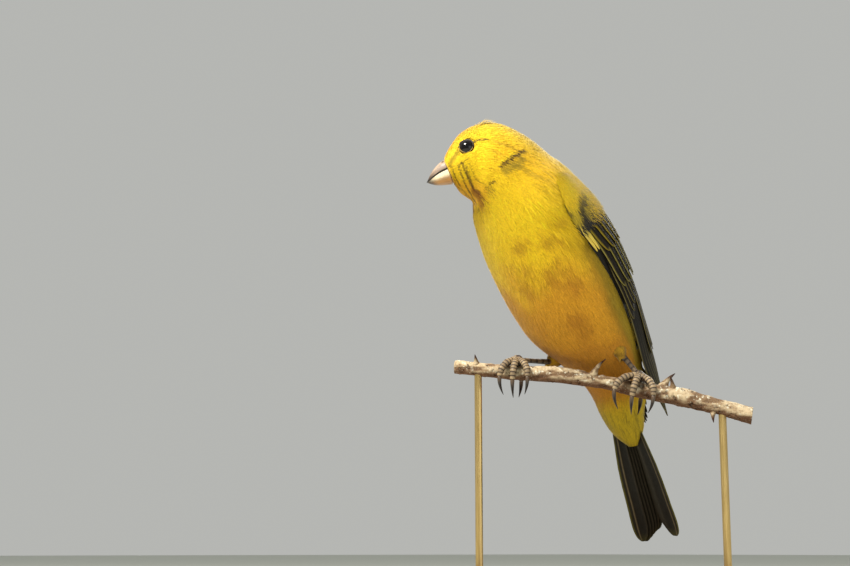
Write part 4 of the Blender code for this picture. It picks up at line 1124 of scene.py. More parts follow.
# %% The tail
TAIL_TIP = np.array([0.0, 34.2, -41.2])
TAIL_LINE = np.array([0.0, 0.37, -0.929])
TAIL_BACK = np.array([0.0, 0.929, 0.37])
TAIL_LENGTH = 50.0
RECTRIX_TIPS = (47.8, 48.3, 49.0, 49.8, 50.5, 50.4)
RECTRIX_WIDTH = 5.2
TAIL_UNEVEN = 0.7
TAIL_LEAN = 0.5
TAIL_DARK = colour(40, 37, 30)
TAIL_EDGE = colour(112, 106, 50)
TAIL_SHAFT = colour(140, 124, 92)
TAIL_INNER = colour(70, 64, 50)


def tail_points(along, aside, over):
    """root + along the tail's line + aside to the left + over toward the back."""
    along, aside, over = np.broadcast_arrays(along, aside, over)
    root = TAIL_TIP - TAIL_LENGTH * TAIL_LINE
    down = root + along[..., None] * TAIL_LINE
    return down + aside[..., None] * np.array([1.0, 0, 0]) + over[..., None] * TAIL_BACK


def rectrix(side, index):
    """Rings and shades of a tail feather: its outer edge carries the fringe, its lower face the tan shaft."""
    share = 1 - (1 - np.linspace(0, 1, VANE_RINGS)) ** 1.5
    along = 12 + (RECTRIX_TIPS[index] - side * TAIL_UNEVEN - 12) * share
    width = np.interp(share, [0, 0.45, 0.8], [0.47, 0.92, 1.0])
    width = width * np.sqrt(np.maximum(1 - np.clip((share - 0.84) / 0.16, 0, 1) ** 2.6, 0.02))
    middle = read_at(along, (13, 20, 32, 42, 51), (0.4, 0.67, 0.94, 1.04, 1.12)) * (1.2 + 0.78 * index)
    middle = middle + 0.4 * share**8
    along_edge = np.stack([along, 0 * along, 0 * along + index], -1)
    nick = 1 + 0.05 * (rough_noise(along_edge, 0.8, index + 3 * side) - 0.5)
    outward = (0.5 - VANE_ACROSS) * RECTRIX_WIDTH
    aside = side * (middle[:, None] + (width * nick)[:, None] * outward) - TAIL_LEAN * (1 - share)[:, None]
    over = (1.4 if side > 0 else 1.18) - 0.4 * index
    tilt = 0.35 * (2 * VANE_ACROSS - 1) * width[:, None]
    ridge = 0.13 * np.exp(-(((VANE_ACROSS - SHAFT_AT) / 0.035) ** 2)) * (1 - 0.6 * share[:, None])
    camber = 0.25 * (1 - (2 * VANE_ACROSS - 1) ** 2) * width[:, None]
    upper = tail_points(along[:, None], aside, over + tilt + camber + 0.4 * ridge)
    lower = tail_points(along[:, None], aside, over + tilt + camber - VANE_THICK - ridge)
    share = np.broadcast_to(share[:, None], aside.shape)
    shades = vane_shades(share, TAIL_DARK, TAIL_EDGE, 0.1, 0.3, TAIL_INNER, TAIL_SHAFT)
    return np.concatenate([upper, lower[:, ::-1]], 1), shades


pairs = [rectrix(side, index) for index in range(len(RECTRIX_TIPS)) for side in SIDES.values()]
show(vane_mesh("tail_vanes", *zip(*pairs)), "tail_feather", "tail")

# %% [markdown]
# The bill is drawn in the plane that holds its middle: distance forward of its root, and height. Each half
# is an arch over the line of the mouth. The line bends down toward the base, so the bird keeps its stern
# look.

# %% The bill
BILL_ROOT = np.array(RINGS["bill"][:3])
CULMEN = ((1.3, 55.9), (2.9, 54.6), (4.45, 52.6), (5.8, 49.7))
MOUTH = ((0.0, 52.6), (1.9, 51.9), (3.8, 50.9), (5.6, 49.85))
GONYS = ((-1.3, 49.55), (0.9, 49.3), (3.2, 49.2), (5.1, 49.6))
BILL_HALF_WIDTHS = (3.2, 2.6, 1.75, 0.35)
NOSTRIL = (1.45, 54.9)
BILL_PINK = colour(182, 158, 136)
BILL_GREY = colour(136, 116, 100)
BILL_CREAM = colour(236, 218, 182)
# Tan of the lower half's lower side: painted shade.
BILL_SHADED_TAN = colour(186, 134, 78)
BILL_TIP = colour(62, 48, 40)
BILL_STEPS = np.linspace(0.1, 3.0, 90)


def bill_frame(points, aside):
    """root + forward along the head's heading + height over the root + aside to the left."""
    points = np.asarray(points, float)
    forward, height = points[..., :1], points[..., 1:] - BILL_ROOT[2]
    return BILL_ROOT + forward * HEAD_FORWARD + height * HEAD_UP + np.asarray(aside)[..., None] * HEAD_LEFT


def bill_half(ridge):
    """Rings of one half: mouth + (ridge - mouth) sin(turn)^0.9 with width cos(turn), then back."""
    mouth, outline = smooth_read(MOUTH, BILL_STEPS), smooth_read(ridge, BILL_STEPS)
    wide = read_at(BILL_STEPS, (0, 1, 2, 3), BILL_HALF_WIDTHS)
    close = np.sqrt(np.clip(1 - (np.clip(BILL_STEPS - 2.88, 0, None) / 0.12) ** 2, 0.02, 1))
    mouth = mouth + unit(outline - mouth) * GAP / 2
    turn = np.linspace(0, math.pi, 45)
    share = np.sin(turn)[None, :, None] ** 0.9
    arch = mouth[:, None] + (outline - mouth)[:, None] * share * close[:, None, None]
    across = (wide * close)[:, None] * np.cos(turn) * (1 + 0.04 * np.sin(2 * turn) ** 2)
    back = np.linspace(-1, 1, 24)[1:-1]
    roof = mouth[:, None] + (outline - mouth)[:, None] * 0.12 * (1 - back**2)[None, :, None]
    floor_row = bill_frame(roof, (wide * close)[:, None] * back)
    rings = np.concatenate([bill_frame(arch, across), floor_row], 1)
    over = np.concatenate([np.sin(turn), 0 * back])
    return rings, np.broadcast_to(over, rings.shape[:2])


def bill_colours(rings, over, edge, side, ridge):
    """Tones from the mouth's edge over the side to the ridge, a dark tip, painted shade along the mouth's
    line, and fine streaks.
    """
    along = np.broadcast_to(BILL_STEPS[:, None], over.shape)
    grain = rough_noise(rings * np.array([1.0, 1.0, 3.0]), 1.3, 41)
    shades = np.broadcast_to(edge, rings.shape)
    shades = paint(shades, side, smoothstep(0.3, 0.75, over + 0.3 * (grain - 0.5)))
    shades = paint(shades, ridge, smoothstep(0.8, 1.0, over + 0.15 * (grain - 0.5)) * 0.85)
    shades = paint(shades, BILL_TIP, smoothstep(1.5, 2.8, along + 0.6 * (grain - 0.5)) * 0.92)
    # A dark line along the mouth's edge, where the halves meet: painted shade.
    shades = paint(shades, BILL_TIP * 0.6, 1 - smoothstep(0.0, 0.07, over))
    return shades * (0.86 + 0.28 * grain)[..., None]


def horn_finish(name, roughness, bump):
    """Painted colour over smooth horn with faint growth lines and a thin clear coat."""
    board = Board(name, Specular_IOR_Level=0.5, Coat_Weight=0.15, Coat_Roughness=0.25)
    lines = board.noise(700.0, 3.0, None, (1.0, 1.0, 3.5))
    shade = board.mix(board.step(0.4, 0.8, lines) * 0.3, board.painted(), (0.5, 0.42, 0.34), "MULTIPLY")
    return board.finish(shade, roughness + 0.2 * lines, lines, bump, 0.5)


BILL_FINISH = horn_finish("bill_horn", 0.3, 0.00006)
upper_rings, upper_over = bill_half(CULMEN)
upper_shades = bill_colours(upper_rings, upper_over, BILL_GREY, BILL_PINK, BILL_GREY)
for side in SIDES.values():
    nostril = bill_frame(np.array(NOSTRIL), np.array(side * 2.0))
    near = np.linalg.norm((upper_rings - nostril) * [1, 1, 1.2], axis=-1)
    dent = np.exp(-((near / 0.42) ** 2))
    upper_rings = upper_rings - 0.55 * side * dent[..., None] * HEAD_LEFT
    # The nostril's dent is painted dark brown: painted shade in the hollow.
    upper_shades = paint(upper_shades, BROWN * 0.6, np.clip(1.3 * dent, 0, 1))
lower_rings, lower_over = bill_half(GONYS)
# The lower half runs from cream at the mouth's edge to tan on its lower side and darker tan beneath: the tan
# and the darker tan are painted shade.
lower_shades = bill_colours(lower_rings, lower_over, BILL_CREAM, BILL_SHADED_TAN, BILL_SHADED_TAN * 0.7)
show(tube_mesh("bill_upper_horn", [upper_rings], BILL_FINISH, upper_shades[None]), "bill_horn", "bill_upper")
show(tube_mesh("bill_lower_horn", [lower_rings], BILL_FINISH, lower_shades[None]), "bill_horn", "bill_lower")

# %% [markdown]
# The eye is a dark wet ball. Lids are two arcs of bare skin, the upper one dark and full, the lower one
# thin and pale, that meet at the corners. They sit on the skin's edge and hide it.

# %% Eyes and lids
LID_DARK = colour(52, 38, 20)
LID_PALE = colour(150, 122, 56)
IRIS = colour(20, 12, 8)
BLACK = colour(9, 7, 7)


def path_rings(path, radii, sides, up):
    """Ovals about a path: point + radius (cos turn aside + sin turn over), square to the path's heading."""
    heading = unit(np.gradient(path, axis=0))
    aside = unit(np.cross(np.broadcast_to(up, path.shape), heading))
    over = np.cross(heading, aside)
    turn = 2 * math.pi * np.arange(sides) / sides
    radii = np.broadcast_to(radii, (len(path), sides))[..., None]
    ring = np.cos(turn)[None, :, None] * aside[:, None] + np.sin(turn)[None, :, None] * over[:, None]
    return path[:, None] + radii * ring


def eye_rings(side, rings=48, sides=64):
    """A ball with its poles on the line that it looks along: centre + r (cos t look + sin t across)."""
    axes = eye_axes(side)
    tilt = np.linspace(0.004, math.pi - 0.004, rings)[:, None]
    turn = 2 * math.pi * np.arange(sides) / sides
    local = np.stack([np.sin(tilt) * np.cos(turn), np.sin(tilt) * np.sin(turn), np.cos(tilt) + 0 * turn], -1)
    return eye_centre(side) + (EYE_RADIUS - 0.02) * local @ axes


def eye_finish():
    """Near black under a clear coat."""
    board = Board("wet_eye", Coat_Weight=0.4, Coat_Roughness=0.02, Specular_IOR_Level=0.2)
    return board.finish(board.painted(), 0.08)


EYE_FINISH = eye_finish()
for side_name, side in SIDES.items():
    rings = eye_rings(side)
    aside, _ = from_eye(rings, side)
    shades = paint(np.broadcast_to(BLACK, rings.shape), IRIS, smoothstep(1.05, 1.15, aside) * 0.9)
    eye = tube_mesh("eyeball_" + side_name, [rings], EYE_FINISH, shades[None])
    show(eye, "eye_dark", "eye_" + side_name)


def lid_rings(side, upper):
    """An arc of skin from corner to corner of the eye, thickest in the middle and thin at the corners."""
    share = np.linspace(0, 1, 30)
    turn = share * math.pi * (1 if upper else -1) + np.radians(-12 if side > 0 else 12)
    radius = 1.9 if upper else 1.86
    out = LID_OUT + 0.02 + 0.12 * np.cos(2 * turn)
    axes = eye_axes(side)
    around = np.cos(turn)[:, None] * axes[0] + 0.94 * np.sin(turn)[:, None] * axes[1]
    path = eye_centre(side) + radius * around + out[:, None] * axes[2]
    thick = (0.26 if upper else 0.15) * (0.35 + 0.65 * np.sin(share * math.pi) ** 0.6)
    crease = 1 + 0.14 * np.sin(40 * share)[:, None] * np.sin(2 * math.pi * np.arange(12) / 12)
    return path_rings(path, thick[:, None] * crease, 12, axes[2])


def bare_skin_finish(name, grain, bump):
    """Painted colour on fine scaly skin."""
    board = Board(name, Specular_IOR_Level=0.4)
    cells = board.noise(grain, 4.0)
    shade = board.mix(board.step(0.35, 0.7, cells) * 0.35, board.painted(), (0.4, 0.33, 0.28), "MULTIPLY")
    return board.finish(shade, 0.42 + 0.25 * cells, cells, bump, 0.6)


LID_FINISH = bare_skin_finish("lid_skin", 2400.0, 0.00005)
lids = [lid_rings(side, upper) for side in SIDES.values() for upper in (True, False)]
lid_tones = [tone for _ in SIDES for tone in (LID_DARK, LID_PALE)]
lid_shades = np.array(lid_tones)[:, None, None] * np.ones((1, 30, 12, 1))
show(tube_mesh("lids", lids, LID_FINISH, lid_shades), "plumage_yellow")

# %% [markdown]
# The branch rises a little toward the bird's right. Its bark is built up in the mesh, with long ridges,
# pits and knots, and its two cut ends show pale wood. All places on it are given along it and by a turn
# from its top toward its front.

# %% The branch
BRANCH_TURN = math.radians(40.0)
BRANCH_OFFSET = (1.8, -1.8)
BRANCH_ALONG = (-30.2, -14.7, -2.4, 8.8, 18.3, 28.4, 38.4, 46.3)
BRANCH_RISE = (2.9, 1.1, 0.1, -1.9, -4.2, -6.2, -9.0, -11.4)
BRANCH_RADII = (1.75, 1.95, 2.2, 1.8, 2.15, 2.4, 2.1, 2.3)
THORNS = (
    (6.1, 25, 4.6, 1.4, 0.6),
    (23.8, -15, 4.2, 1.9, 0.6),
    (26.4, 25, 3.0, 1.5, -0.4),
    (29.4, -50, 2.6, 1.6, 0.3),
    (-24.5, 30, 2.4, 1.4, -0.2),
    (37.0, 160, 2.8, 1.4, 0.3),
)
BARK_CREAM = colour(190, 170, 138)
BARK_BUFF = colour(140, 114, 86)
BARK_RED = colour(92, 54, 38)
BARK_PIT = colour(48, 32, 24)
WOOD = colour(206, 172, 120)
LICHEN = colour(226, 222, 200)


def branch_axis(along):
    """offset + along the level direction + rise, read smoothly along the branch."""
    along = np.asarray(along, float)
    direction = np.array([math.cos(BRANCH_TURN), math.sin(BRANCH_TURN), 0.0])
    rise = read_at(along, BRANCH_ALONG, BRANCH_RISE)
    level = np.array([*BRANCH_OFFSET, 0.0]) + along[..., None] * direction
    return level + rise[..., None] * np.array([0, 0, 1.0])


def branch_axes(along):
    """Along, up and front directions of the branch."""
    along = np.asarray(along, float)
    forward = unit(branch_axis(along + 0.5) - branch_axis(along - 0.5))
    front = unit(np.cross(forward, (0.0, 0.0, 1.0)))
    return forward, np.cross(front, forward), front


def wrap_point(along, turn, clear):
    """axis + (radius + clear) (cos turn up + sin turn front)."""
    along, turn, clear = np.broadcast_arrays(along, turn, clear)
    _, up, front = branch_axes(along)
    out = np.cos(turn)[..., None] * up + np.sin(turn)[..., None] * front
    reach = read_at(along, BRANCH_ALONG, BRANCH_RADII) + clear
    return branch_axis(along) + reach[..., None] * out


def bark_relief(points):
    """Height of the bark in millimetres: long ridges, small warts and pits, never above the solid's face."""
    stretched = points @ np.array([[0.35, 0, 0], [0, 0.35, 0], [0, 0, 1.0]])
    ridges = rough_noise(stretched, 1.1, 51)
    warts = smoothstep(0.6, 0.8, rough_noise(points, 1.5, 57))
    pits = smoothstep(0.62, 0.8, rough_noise(points, 0.8, 61))
    return 0.42 * (ridges - 0.6) + 0.16 * warts - 0.22 * pits, ridges, pits, warts


BARK_RINGS = 460
BARK_SIDES = 72
bark_turns = np.arange(BARK_SIDES) * 2 * math.pi / BARK_SIDES
branch_along, branch_turn = np.meshgrid(
    np.linspace(BRANCH_ALONG[0], BRANCH_ALONG[-1], BARK_RINGS), bark_turns, indexing="ij"
)
bark_points = wrap_point(branch_along, branch_turn, 0.0)
relief, ridges, pits, warts = bark_relief(bark_points)
bark_rings = wrap_point(branch_along, branch_turn, relief - 0.04)
# The top, turned a little toward the front, is painted buff and cream as painted light, and the underside
# stays darker red as painted shade; lichen flecks lie only on that lit top.
lit_top_side = smoothstep(-0.55, 0.35, np.cos(branch_turn - 0.25) + 0.9 * (ridges - 0.5))
bark_shades = paint(np.broadcast_to(BARK_RED, bark_rings.shape), BARK_BUFF, 0.35 + 0.5 * lit_top_side)
bark_shades = paint(bark_shades, BARK_CREAM, lit_top_side * smoothstep(0.4, 0.62, ridges))
furrows = (1 - smoothstep(0.3, 0.5, ridges)) * (1 - pits)
bark_shades = paint(bark_shades, BARK_PIT, 0.85 * pits + 0.35 * furrows)
flecks = smoothstep(0.66, 0.74, rough_noise(bark_points, 0.55, 67))
bark_shades = paint(bark_shades, LICHEN, 0.8 * np.clip(flecks + 0.4 * warts, 0, 1) * lit_top_side)


def cut_end(ring, middle):
    """Rings that close a cut end: a sharp edge of bark, then pale wood with two darker year rings."""
    shares = np.array([0.93, 0.92, 0.7, 0.66, 0.62, 0.36, 0.32, 0.28, 0.1])[:, None, None]
    tones = [BARK_RED * 0.7, WOOD, WOOD, WOOD * 0.6, WOOD, WOOD, WOOD * 0.6, WOOD, BARK_PIT]
    return middle + (ring - middle) * shares, np.array(tones)[:, None] * np.ones((1, BARK_SIDES, 1))


first_rings, first_shades = cut_end(bark_rings[0], branch_axis(branch_along[0, 0]))
last_rings, last_shades = cut_end(bark_rings[-1], branch_axis(branch_along[-1, 0]))
bark_rings = np.concatenate([first_rings[::-1], bark_rings, last_rings])
bark_shades = np.concatenate([first_shades[::-1], bark_shades, last_shades])


def bark_finish():
    """Painted bark, with finer grain and a rough, dusty face."""
    board = Board("bark", Specular_IOR_Level=0.2)
    grain, speck = board.noise(1300.0, 5.0), board.noise(3600.0, 2.0)
    shade = board.mix(board.step(0.45, 0.75, grain) * 0.55, board.painted(), (0.42, 0.34, 0.28), "MULTIPLY")
    shade = board.mix(board.step(0.62, 0.72, speck) * 0.35, shade, tuple(LICHEN))
    return board.finish(shade, 0.8 + 0.15 * grain, grain + 0.5 * speck, 0.00016, 0.8)


BARK_FINISH = bark_finish()
show(tube_mesh("branch_bark", [bark_rings], BARK_FINISH, bark_shades[None]), "bark", "branch")

THORN_RINGS = 26
THORN_SIDES = 20
THORN_TAPER = np.array([1, 0.75, 0.42, 0.24])
thorn_rings, thorn_shades = [], []
for number, (place, turn_angle, length, width, lean) in enumerate(THORNS):
    forward, up, front = branch_axes(place)
    turn_angle = math.radians(turn_angle)
    out = math.cos(turn_angle) * up + math.sin(turn_angle) * front
    root = branch_axis(place) + out * 0.3 * read_at(place, BRANCH_ALONG, BRANCH_RADII)
    reach = np.linspace(0, 1, THORN_RINGS)[:, None]
    path = root + (length + 1.2) * reach * out + lean * length * reach**2 * forward
    radii = read_at(reach[:, 0], (0, 0.25, 0.5, 0.75, 1), (*(THORN_TAPER * width), 0.08))
    rings = path_rings(path, radii[:, None], THORN_SIDES, forward)
    rough = rough_noise(rings, 0.9, 71 + number)
    rings = path_rings(path, radii[:, None] * (0.86 + 0.22 * rough), THORN_SIDES, forward)
    shade = np.broadcast_to(BARK_BUFF * 0.8, rings.shape)
    shade = paint(shade, BARK_CREAM, smoothstep(0.45, 0.65, rough))
    shade = paint(shade, BARK_RED * 0.35, np.broadcast_to(smoothstep(0.45, 0.85, reach), rough.shape))
    thorn_rings.append(rings)
    thorn_shades.append(shade)
show(tube_mesh("thorns", thorn_rings, BARK_FINISH, np.array(thorn_shades)), "bark")

# %% [markdown]
# The legs come out of short feathered thighs. Shank and toes carry a row of plates that overlap like tiles:
# each rises toward its end and drops to the next. On this bird they are pale on dark skin. The sides and
# soles of the toes are grained, and each claw grows from the last plate.

# %% Legs and feet
LEGS = {
    "left": {"hip": (9.0, 7.5, 10.5), "ankle": (11.6, 7.9, 4.6), "foot_along": 17.4, "spread": 1.0},
    "right": {"hip": (-8.5, 7.5, 10.0), "ankle": (-11.2, 3.4, 3.6), "foot_along": -13.8, "spread": 0.75},
}
SHANK_RADIUS = 0.75
TOE_RADIUS = 0.95
PAD_HEIGHT = 2.8
TOES = {
    "hind": (1.2, -12, -112),
    "inner": (-5.0, 8, 112),
    "middle": (-0.5, 8, 120),
    "outer": (4.6, 8, 106),
}
TOE_SWELLS = (1.0, 1.08, 0.96, 1.08, 0.92, 1.0, 0.84, 0.7)
TOE_LIFT = 1.0
CLAW_LENGTH = 4.3
CLAW_RADIUS = 0.66
CLAW_DROOP = 0.9
CLAW_HOOK = 0.5
CLAW_LEAN = 0.07
SKIN_DARK = colour(44, 30, 26)
PLATE_BUFF = colour(160, 138, 106)
CLAW_DARK = colour(30, 21, 19)
CLAW_ROOT = colour(96, 76, 58)
TOE_RINGS = 72
TOE_SIDES = 24
CLAW_RINGS = 28
CLAW_SIDES = 16
SHANK_RINGS = 60
SHANK_SIDES = 22


def toe_path(leg, toe, rings=TOE_RINGS):
    """The middle of a toe: round the branch by its turns, spread along it, and lifted toward the claw."""
    spread, start, end = TOES[toe]
    share = np.linspace(0, 1, rings)
    places = leg["foot_along"] + leg["spread"] * spread * np.sin(share * math.pi / 2)
    turns = np.radians(start + (end - start) * share)
    return wrap_point(places, turns, GAP + 1.08 * TOE_RADIUS + TOE_LIFT * share**2), places


def plated_rings(path, radii, sides, up, plates, height, seed):
    """Rings with plates over the back and grain below, and their colours."""
    share = np.linspace(0, 1, len(path))
    phase = np.mod(share * plates, 1.0)
    profile = (0.3 + 0.7 * phase) * (1 - smoothstep(0.82, 1.0, phase))
    turn = 2 * math.pi * np.arange(sides) / sides
    back = smoothstep(0.1, 0.55, np.sin(turn))
    plate = profile[:, None] * back[None]
    plain = path_rings(path, np.broadcast_to(radii, (len(path),))[:, None], sides, up)
    grain = rough_noise(plain, 0.42, seed)
    swell = height * plate + 0.07 * (1 - back) * grain - 0.06
    rings = path_rings(path, np.broadcast_to(radii, (len(path),))[:, None] + swell, sides, up)
    tone = value_noise(np.stack([np.floor(share * plates), 0 * share, 0 * share + seed], -1), 1.0, seed)
    shades = np.broadcast_to(SKIN_DARK, rings.shape) * (0.7 + 0.6 * grain[..., None])
    shades = paint(shades, PLATE_BUFF, smoothstep(0.3, 0.6, plate) * (0.55 + 0.45 * tone[:, None]))
    shades = paint(shades, PLATE_BUFF * 0.8, (1 - back) * smoothstep(0.52, 0.68, grain) * 0.6)
    return rings, shades


LEG_FINISH = bare_skin_finish("leg_skin", 2200.0, 0.00007)
CLAW_FINISH = horn_finish("claw_horn", 0.28, 0.00003)
for side_name, leg in LEGS.items():
    rings, shades, claw_rings, claw_shades = [], [], [], []
    forward, _, front = branch_axes(leg["foot_along"])
    for number, toe in enumerate(TOES):
        path, places = toe_path(leg, toe)
        swells = np.linspace(0, len(TOE_SWELLS) - 1.001, TOE_RINGS)
        radii = TOE_RADIUS * smooth_read(TOE_SWELLS, swells)
        outward = unit(path - branch_axis(places))
        plates = 8 if toe == "hind" else 9
        seed = 81 + 5 * number
        toe_rings, toe_shades = plated_rings(path, radii, TOE_SIDES, outward, plates, 0.15, seed)
        rings.append(toe_rings)
        shades.append(toe_shades)
        coarse, _ = toe_path(leg, toe, len(TOE_SWELLS))
        tip, heading = coarse[-1], unit(coarse[-1] - coarse[-2])
        reach = np.linspace(-0.12, 1, CLAW_RINGS)[:, None]
        way = unit(heading + CLAW_DROOP * np.array([0.0, 0.0, -1.0]))
        inward = -math.copysign(CLAW_HOOK, TOES[toe][2]) * front
        bend = inward - CLAW_LEAN * leg["spread"] * TOES[toe][0] * forward
        curve = tip + heading * GAP + CLAW_LENGTH * (reach * way + reach**2 * bend)
        slim = CLAW_RADIUS * (1 - 0.88 * np.clip(reach, 0, 1) ** 1.5)
        slim = slim * (1 - 0.35 * smoothstep(0.02, -0.12, reach))
        turn = 2 * math.pi * np.arange(CLAW_SIDES) / CLAW_SIDES
        oval = slim * (1 - 0.16 * np.cos(turn) ** 2)
        claw_rings.append(path_rings(curve, oval, CLAW_SIDES, outward[-1]))
        root_share = np.broadcast_to(0.8 * (1 - smoothstep(0.0, 0.45, reach)), oval.shape)
        claw_shades.append(paint(np.broadcast_to(CLAW_DARK, (*oval.shape, 3)), CLAW_ROOT, root_share))
    toes = tube_mesh("toes_" + side_name, rings, LEG_FINISH, np.array(shades))
    show(toes, "leg_skin", "foot_" + side_name)
    claws = tube_mesh("claws_" + side_name, claw_rings, CLAW_FINISH, np.array(claw_shades))
    show(claws, "claw_horn", *[f"claw_{side_name}_{toe}" for toe in TOES])

# %% [markdown]
# The pad under the ankle joins the four toes. The shank enters it from above. It is round and thin, with
# plates down its front.

# %% Pads and shanks
for side_name, leg in LEGS.items():
    along = leg["foot_along"]
    forward, up, front = branch_axes(along)
    height = (GAP + PAD_HEIGHT) / 2
    tilt = np.linspace(0.03, math.pi - 0.03, 30)[:, None]
    turn = 2 * math.pi * np.arange(36) / 36
    local = np.stack([np.sin(tilt) * np.cos(turn), np.sin(tilt) * np.sin(turn), np.cos(tilt) + 0 * turn], -1)
    radii = np.array([1.5, 1.5, height - GAP])
    pad = wrap_point(along, 0.0, height) + (local * radii) @ np.array([forward, front, up])
    grain = rough_noise(pad, 0.6, 95)
    pad = pad + (0.16 * (grain - 0.6))[..., None] * local @ np.array([forward, front, up])
    pad_shades = paint(np.broadcast_to(SKIN_DARK, pad.shape), PLATE_BUFF, 0.75 * smoothstep(0.55, 0.7, grain))
    show(tube_mesh("pad_" + side_name, [pad], LEG_FINISH, pad_shades[None]), "leg_skin")
    ankle, hip = np.array(leg["ankle"]), np.array(leg["hip"])
    end = wrap_point(along, 0.0, PAD_HEIGHT - 1.4)
    share = np.linspace(0, 1, SHANK_RINGS)
    path = ankle + 0.25 * (hip - ankle) + (end - ankle - 0.25 * (hip - ankle)) * share[:, None]
    radii = SHANK_RADIUS * read_at(share, (0, 0.15, 0.6, 0.9, 1), (1.1, 1.05, 0.9, 1.0, 1.15))
    front_down = np.array([0.3, -1.0, 0.0])
    shank_rings, shank_shades = plated_rings(path, radii, SHANK_SIDES, front_down, 6, 0.07, 97)
    # The whole shank is darkened toward the dark skin: painted shade.
    shank_shades = paint(shank_shades, SKIN_DARK, np.full(shank_shades.shape[:2], 0.55))
    shank = tube_mesh("shank_skin_" + side_name, [shank_rings], LEG_FINISH, shank_shades[None])
    show(shank, "leg_skin", "shank_" + side_name)

# %% [markdown]
# The thighs are short cones of feathers, amber and brown in the shade of the belly. Their own small
# feathers point down the leg and end over the bare skin in a ragged cuff.

# %% Thighs
THIGH_SHARES = (-0.75, -0.25, 0, 0.25, 0.5, 0.75, 1, 1.5)
THIGH_RADII = (1.2, 2.9, 3.3, 3.2, 2.7, 2.0, 1.2, 0.9)
THIGH_START = -0.6
THIGH_SPAN = 1.55
THIGH_FEATHERS = 3200


def thigh_surface(leg):
    """A function of (share down the thigh, angle, rise) that gives points of the cone from hip to ankle."""
    hip, ankle = np.array(leg["hip"]), np.array(leg["ankle"])
    heading = unit(ankle - hip)
    aside = unit(np.cross((0.3, 1.0, 0.2), heading))
    over = np.cross(heading, aside)

    def surface(share, angle, rise):
        share, angle, rise = np.broadcast_arrays(share, angle, rise)
        radius = read_at(share, THIGH_SHARES, THIGH_RADII) + rise
        ring = np.cos(angle)[..., None] * aside + np.sin(angle)[..., None] * over
        return hip + share[..., None] * (ankle - hip) + radius[..., None] * ring

    return surface


THIGH_TONE = colour(216, 164, 44)
THIGH_SHADE = colour(160, 118, 36)
for side_name, leg in LEGS.items():
    surface = thigh_surface(leg)
    turns = np.arange(28) * 2 * math.pi / 28
    share, angle = np.meshgrid(np.linspace(THIGH_START, 1.02, 30), turns, indexing="ij")
    cone = tube_mesh("thigh_skin_" + side_name, [surface(share, angle, -0.7)], SKIN_FINISH, THIGH_SHADE * 0.7)
    show(cone, "plumage_yellow", "thigh_" + side_name)
    spread = even_places(THIGH_FEATHERS, 0.37)
    place, angle = THIGH_START + THIGH_SPAN * spread[:, 0], 2 * math.pi * spread[:, 1]
    length = 2.2 * np.exp(0.15 * DRAW.standard_normal(THIGH_FEATHERS))
    length = length * (1 - 0.35 * smoothstep(0.6, 1.0, place))
    width = 0.36 * np.exp(0.15 * DRAW.standard_normal(THIGH_FEATHERS))
    turn = np.radians(9) * DRAW.standard_normal(THIGH_FEATHERS)
    rise = (0 * place - 0.8, 0.02 * DRAW.standard_normal(THIGH_FEATHERS))
    tufts = tuft_points(surface, place, angle, length, width, rise, turn)
    tone = rough_noise(surface(place, angle, 0), 1.6, 33)
    base = np.broadcast_to(THIGH_TONE, (THIGH_FEATHERS, 3))
    base = paint(base, THIGH_SHADE, smoothstep(0.35, 0.65, tone))
    root = np.stack([0.02 + 0.9 * spread[:, 1], 0.05 + 0.85 * spread[:, 0]], -1)
    # The roots of the thigh feathers are painted darker still: painted shade.
    shades = tuft_shades(base, THIGH_FEATHERS, 0.7)
    coat = tuft_mesh("thigh_feathers_" + side_name, tufts, root, shades)
    show(coat, "plumage_yellow")

# %% [markdown]
# The stand stays plain: a turned disc of dark walnut and two brass rods. The solids of the frame already
# have the right shape, so they only get a finish. The grain of the wood is noise stretched along one
# direction.

# %% Finishes of the stand
def walnut_finish():
    """Rings of wood from stretched noise, under a satin lacquer."""
    board = Board("walnut", Coat_Weight=0.3, Coat_Roughness=0.25)
    grain = board.noise(60.0, 6.0, None, (1.0, 9.0, 9.0))
    pores = board.noise(700.0, 2.0, None, (0.12, 1.0, 1.0))
    shade = board.mix(board.step(0.3, 0.7, grain), (0.05, 0.022, 0.01), (0.17, 0.085, 0.04))
    shade = board.mix(board.step(0.6, 0.75, pores) * 0.5, shade, (0.02, 0.01, 0.006))
    return board.finish(shade, 0.32 + 0.15 * grain, pores, 0.00005, 0.3)


def brass_finish():
    """Brushed brass: metal with a fine roughness that varies along the rod."""
    board = Board("brass", Metallic=1.0)
    brush = board.noise(900.0, 3.0, None, (6.0, 6.0, 0.2))
    shade = board.mix(board.step(0.2, 0.8, brush), (0.55, 0.37, 0.13), (0.72, 0.52, 0.22))
    return board.finish(shade, 0.22 + 0.2 * brush, brush, 0.00001, 0.2)


def dress(node, finish):
    """Gives an object of the frame this material in every slot."""
    data = bpy.data.objects[node].data
    if not data.materials:
        data.materials.append(finish)
    for slot in range(len(data.materials)):
        data.materials[slot] = finish
    print(node, "dressed in", finish.name)


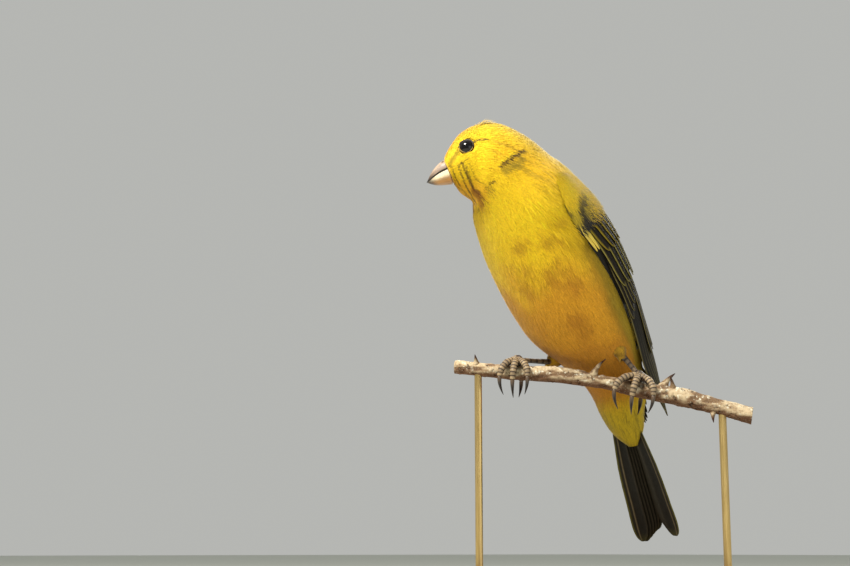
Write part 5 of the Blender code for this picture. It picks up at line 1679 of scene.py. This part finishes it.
WALNUT, BRASS = walnut_finish(), brass_finish()
dress("stand_base", WALNUT)
dress("stand_rod_1", BRASS)
dress("stand_rod_2", BRASS)

# %% [markdown]
# The model stands on a wide pale floor before a pale backdrop. Soft light comes from high on the left of
# the camera, as in the photograph, with a weaker fill from the right, and the world lights the shaded
# belly.

# %% Floor, backdrop and lights
def plain_finish(name, tone):
    """Matt paint with the faintest mottle."""
    board = Board(name, Specular_IOR_Level=0.1)
    cloud = board.noise(3.0, 2.0)
    return board.finish(board.mix(cloud * 0.1, tone, tuple(0.9 * c for c in tone)), 0.9)


FLOOR_REACH = 3.0
FLOOR_TONE = (0.62, 0.64, 0.58)
floor_corners = [(x * FLOOR_REACH, y * FLOOR_REACH, 0) for x, y in ((-1, -1), (1, -1), (1, 1), (-1, 1))]
floor_mesh = bpy.data.meshes.new("floor")
floor_mesh.from_pydata(floor_corners, [], [(0, 1, 2, 3)])
floor_mesh.materials.append(plain_finish("pale_floor", FLOOR_TONE))
floor = bpy.data.objects.new("floor", floor_mesh)
bpy.context.scene.collection.objects.link(floor)

world = bpy.data.worlds.new("studio")
bpy.context.scene.world = world
world.use_nodes = True
sky = world.node_tree.nodes["Background"].inputs
sky["Color"].default_value = (0.93, 0.94, 0.9, 1.0)
sky["Strength"].default_value = 0.5


def soft_light(name, place, target, size, power, tint):
    """A square area light at a place in millimetres, turned to face a target."""
    data = bpy.data.lights.new(name, "AREA")
    data.size = size * MM
    data.energy = power
    data.color = tint
    light = bpy.data.objects.new(name, data)
    light.location = (np.array(place) + TO_FRAME) * MM
    aim = unit(np.array(target, float) - np.array(place, float))
    light.rotation_euler = (math.acos(-aim[2]), 0.0, math.atan2(-aim[0], aim[1]))
    bpy.context.scene.collection.objects.link(light)


soft_light("key", (20, -330, 400), (0, 0, 20), 140, 4.6, (1.0, 0.96, 0.88))
soft_light("fill", (420, -60, 60), (0, 0, 20), 300, 0.35, (0.93, 0.97, 1.0))
soft_light("back", (-160, 300, 260), (0, 0, 30), 240, 1.2, (1.0, 1.0, 0.95))
bpy.context.scene.view_settings.view_transform = "Standard"
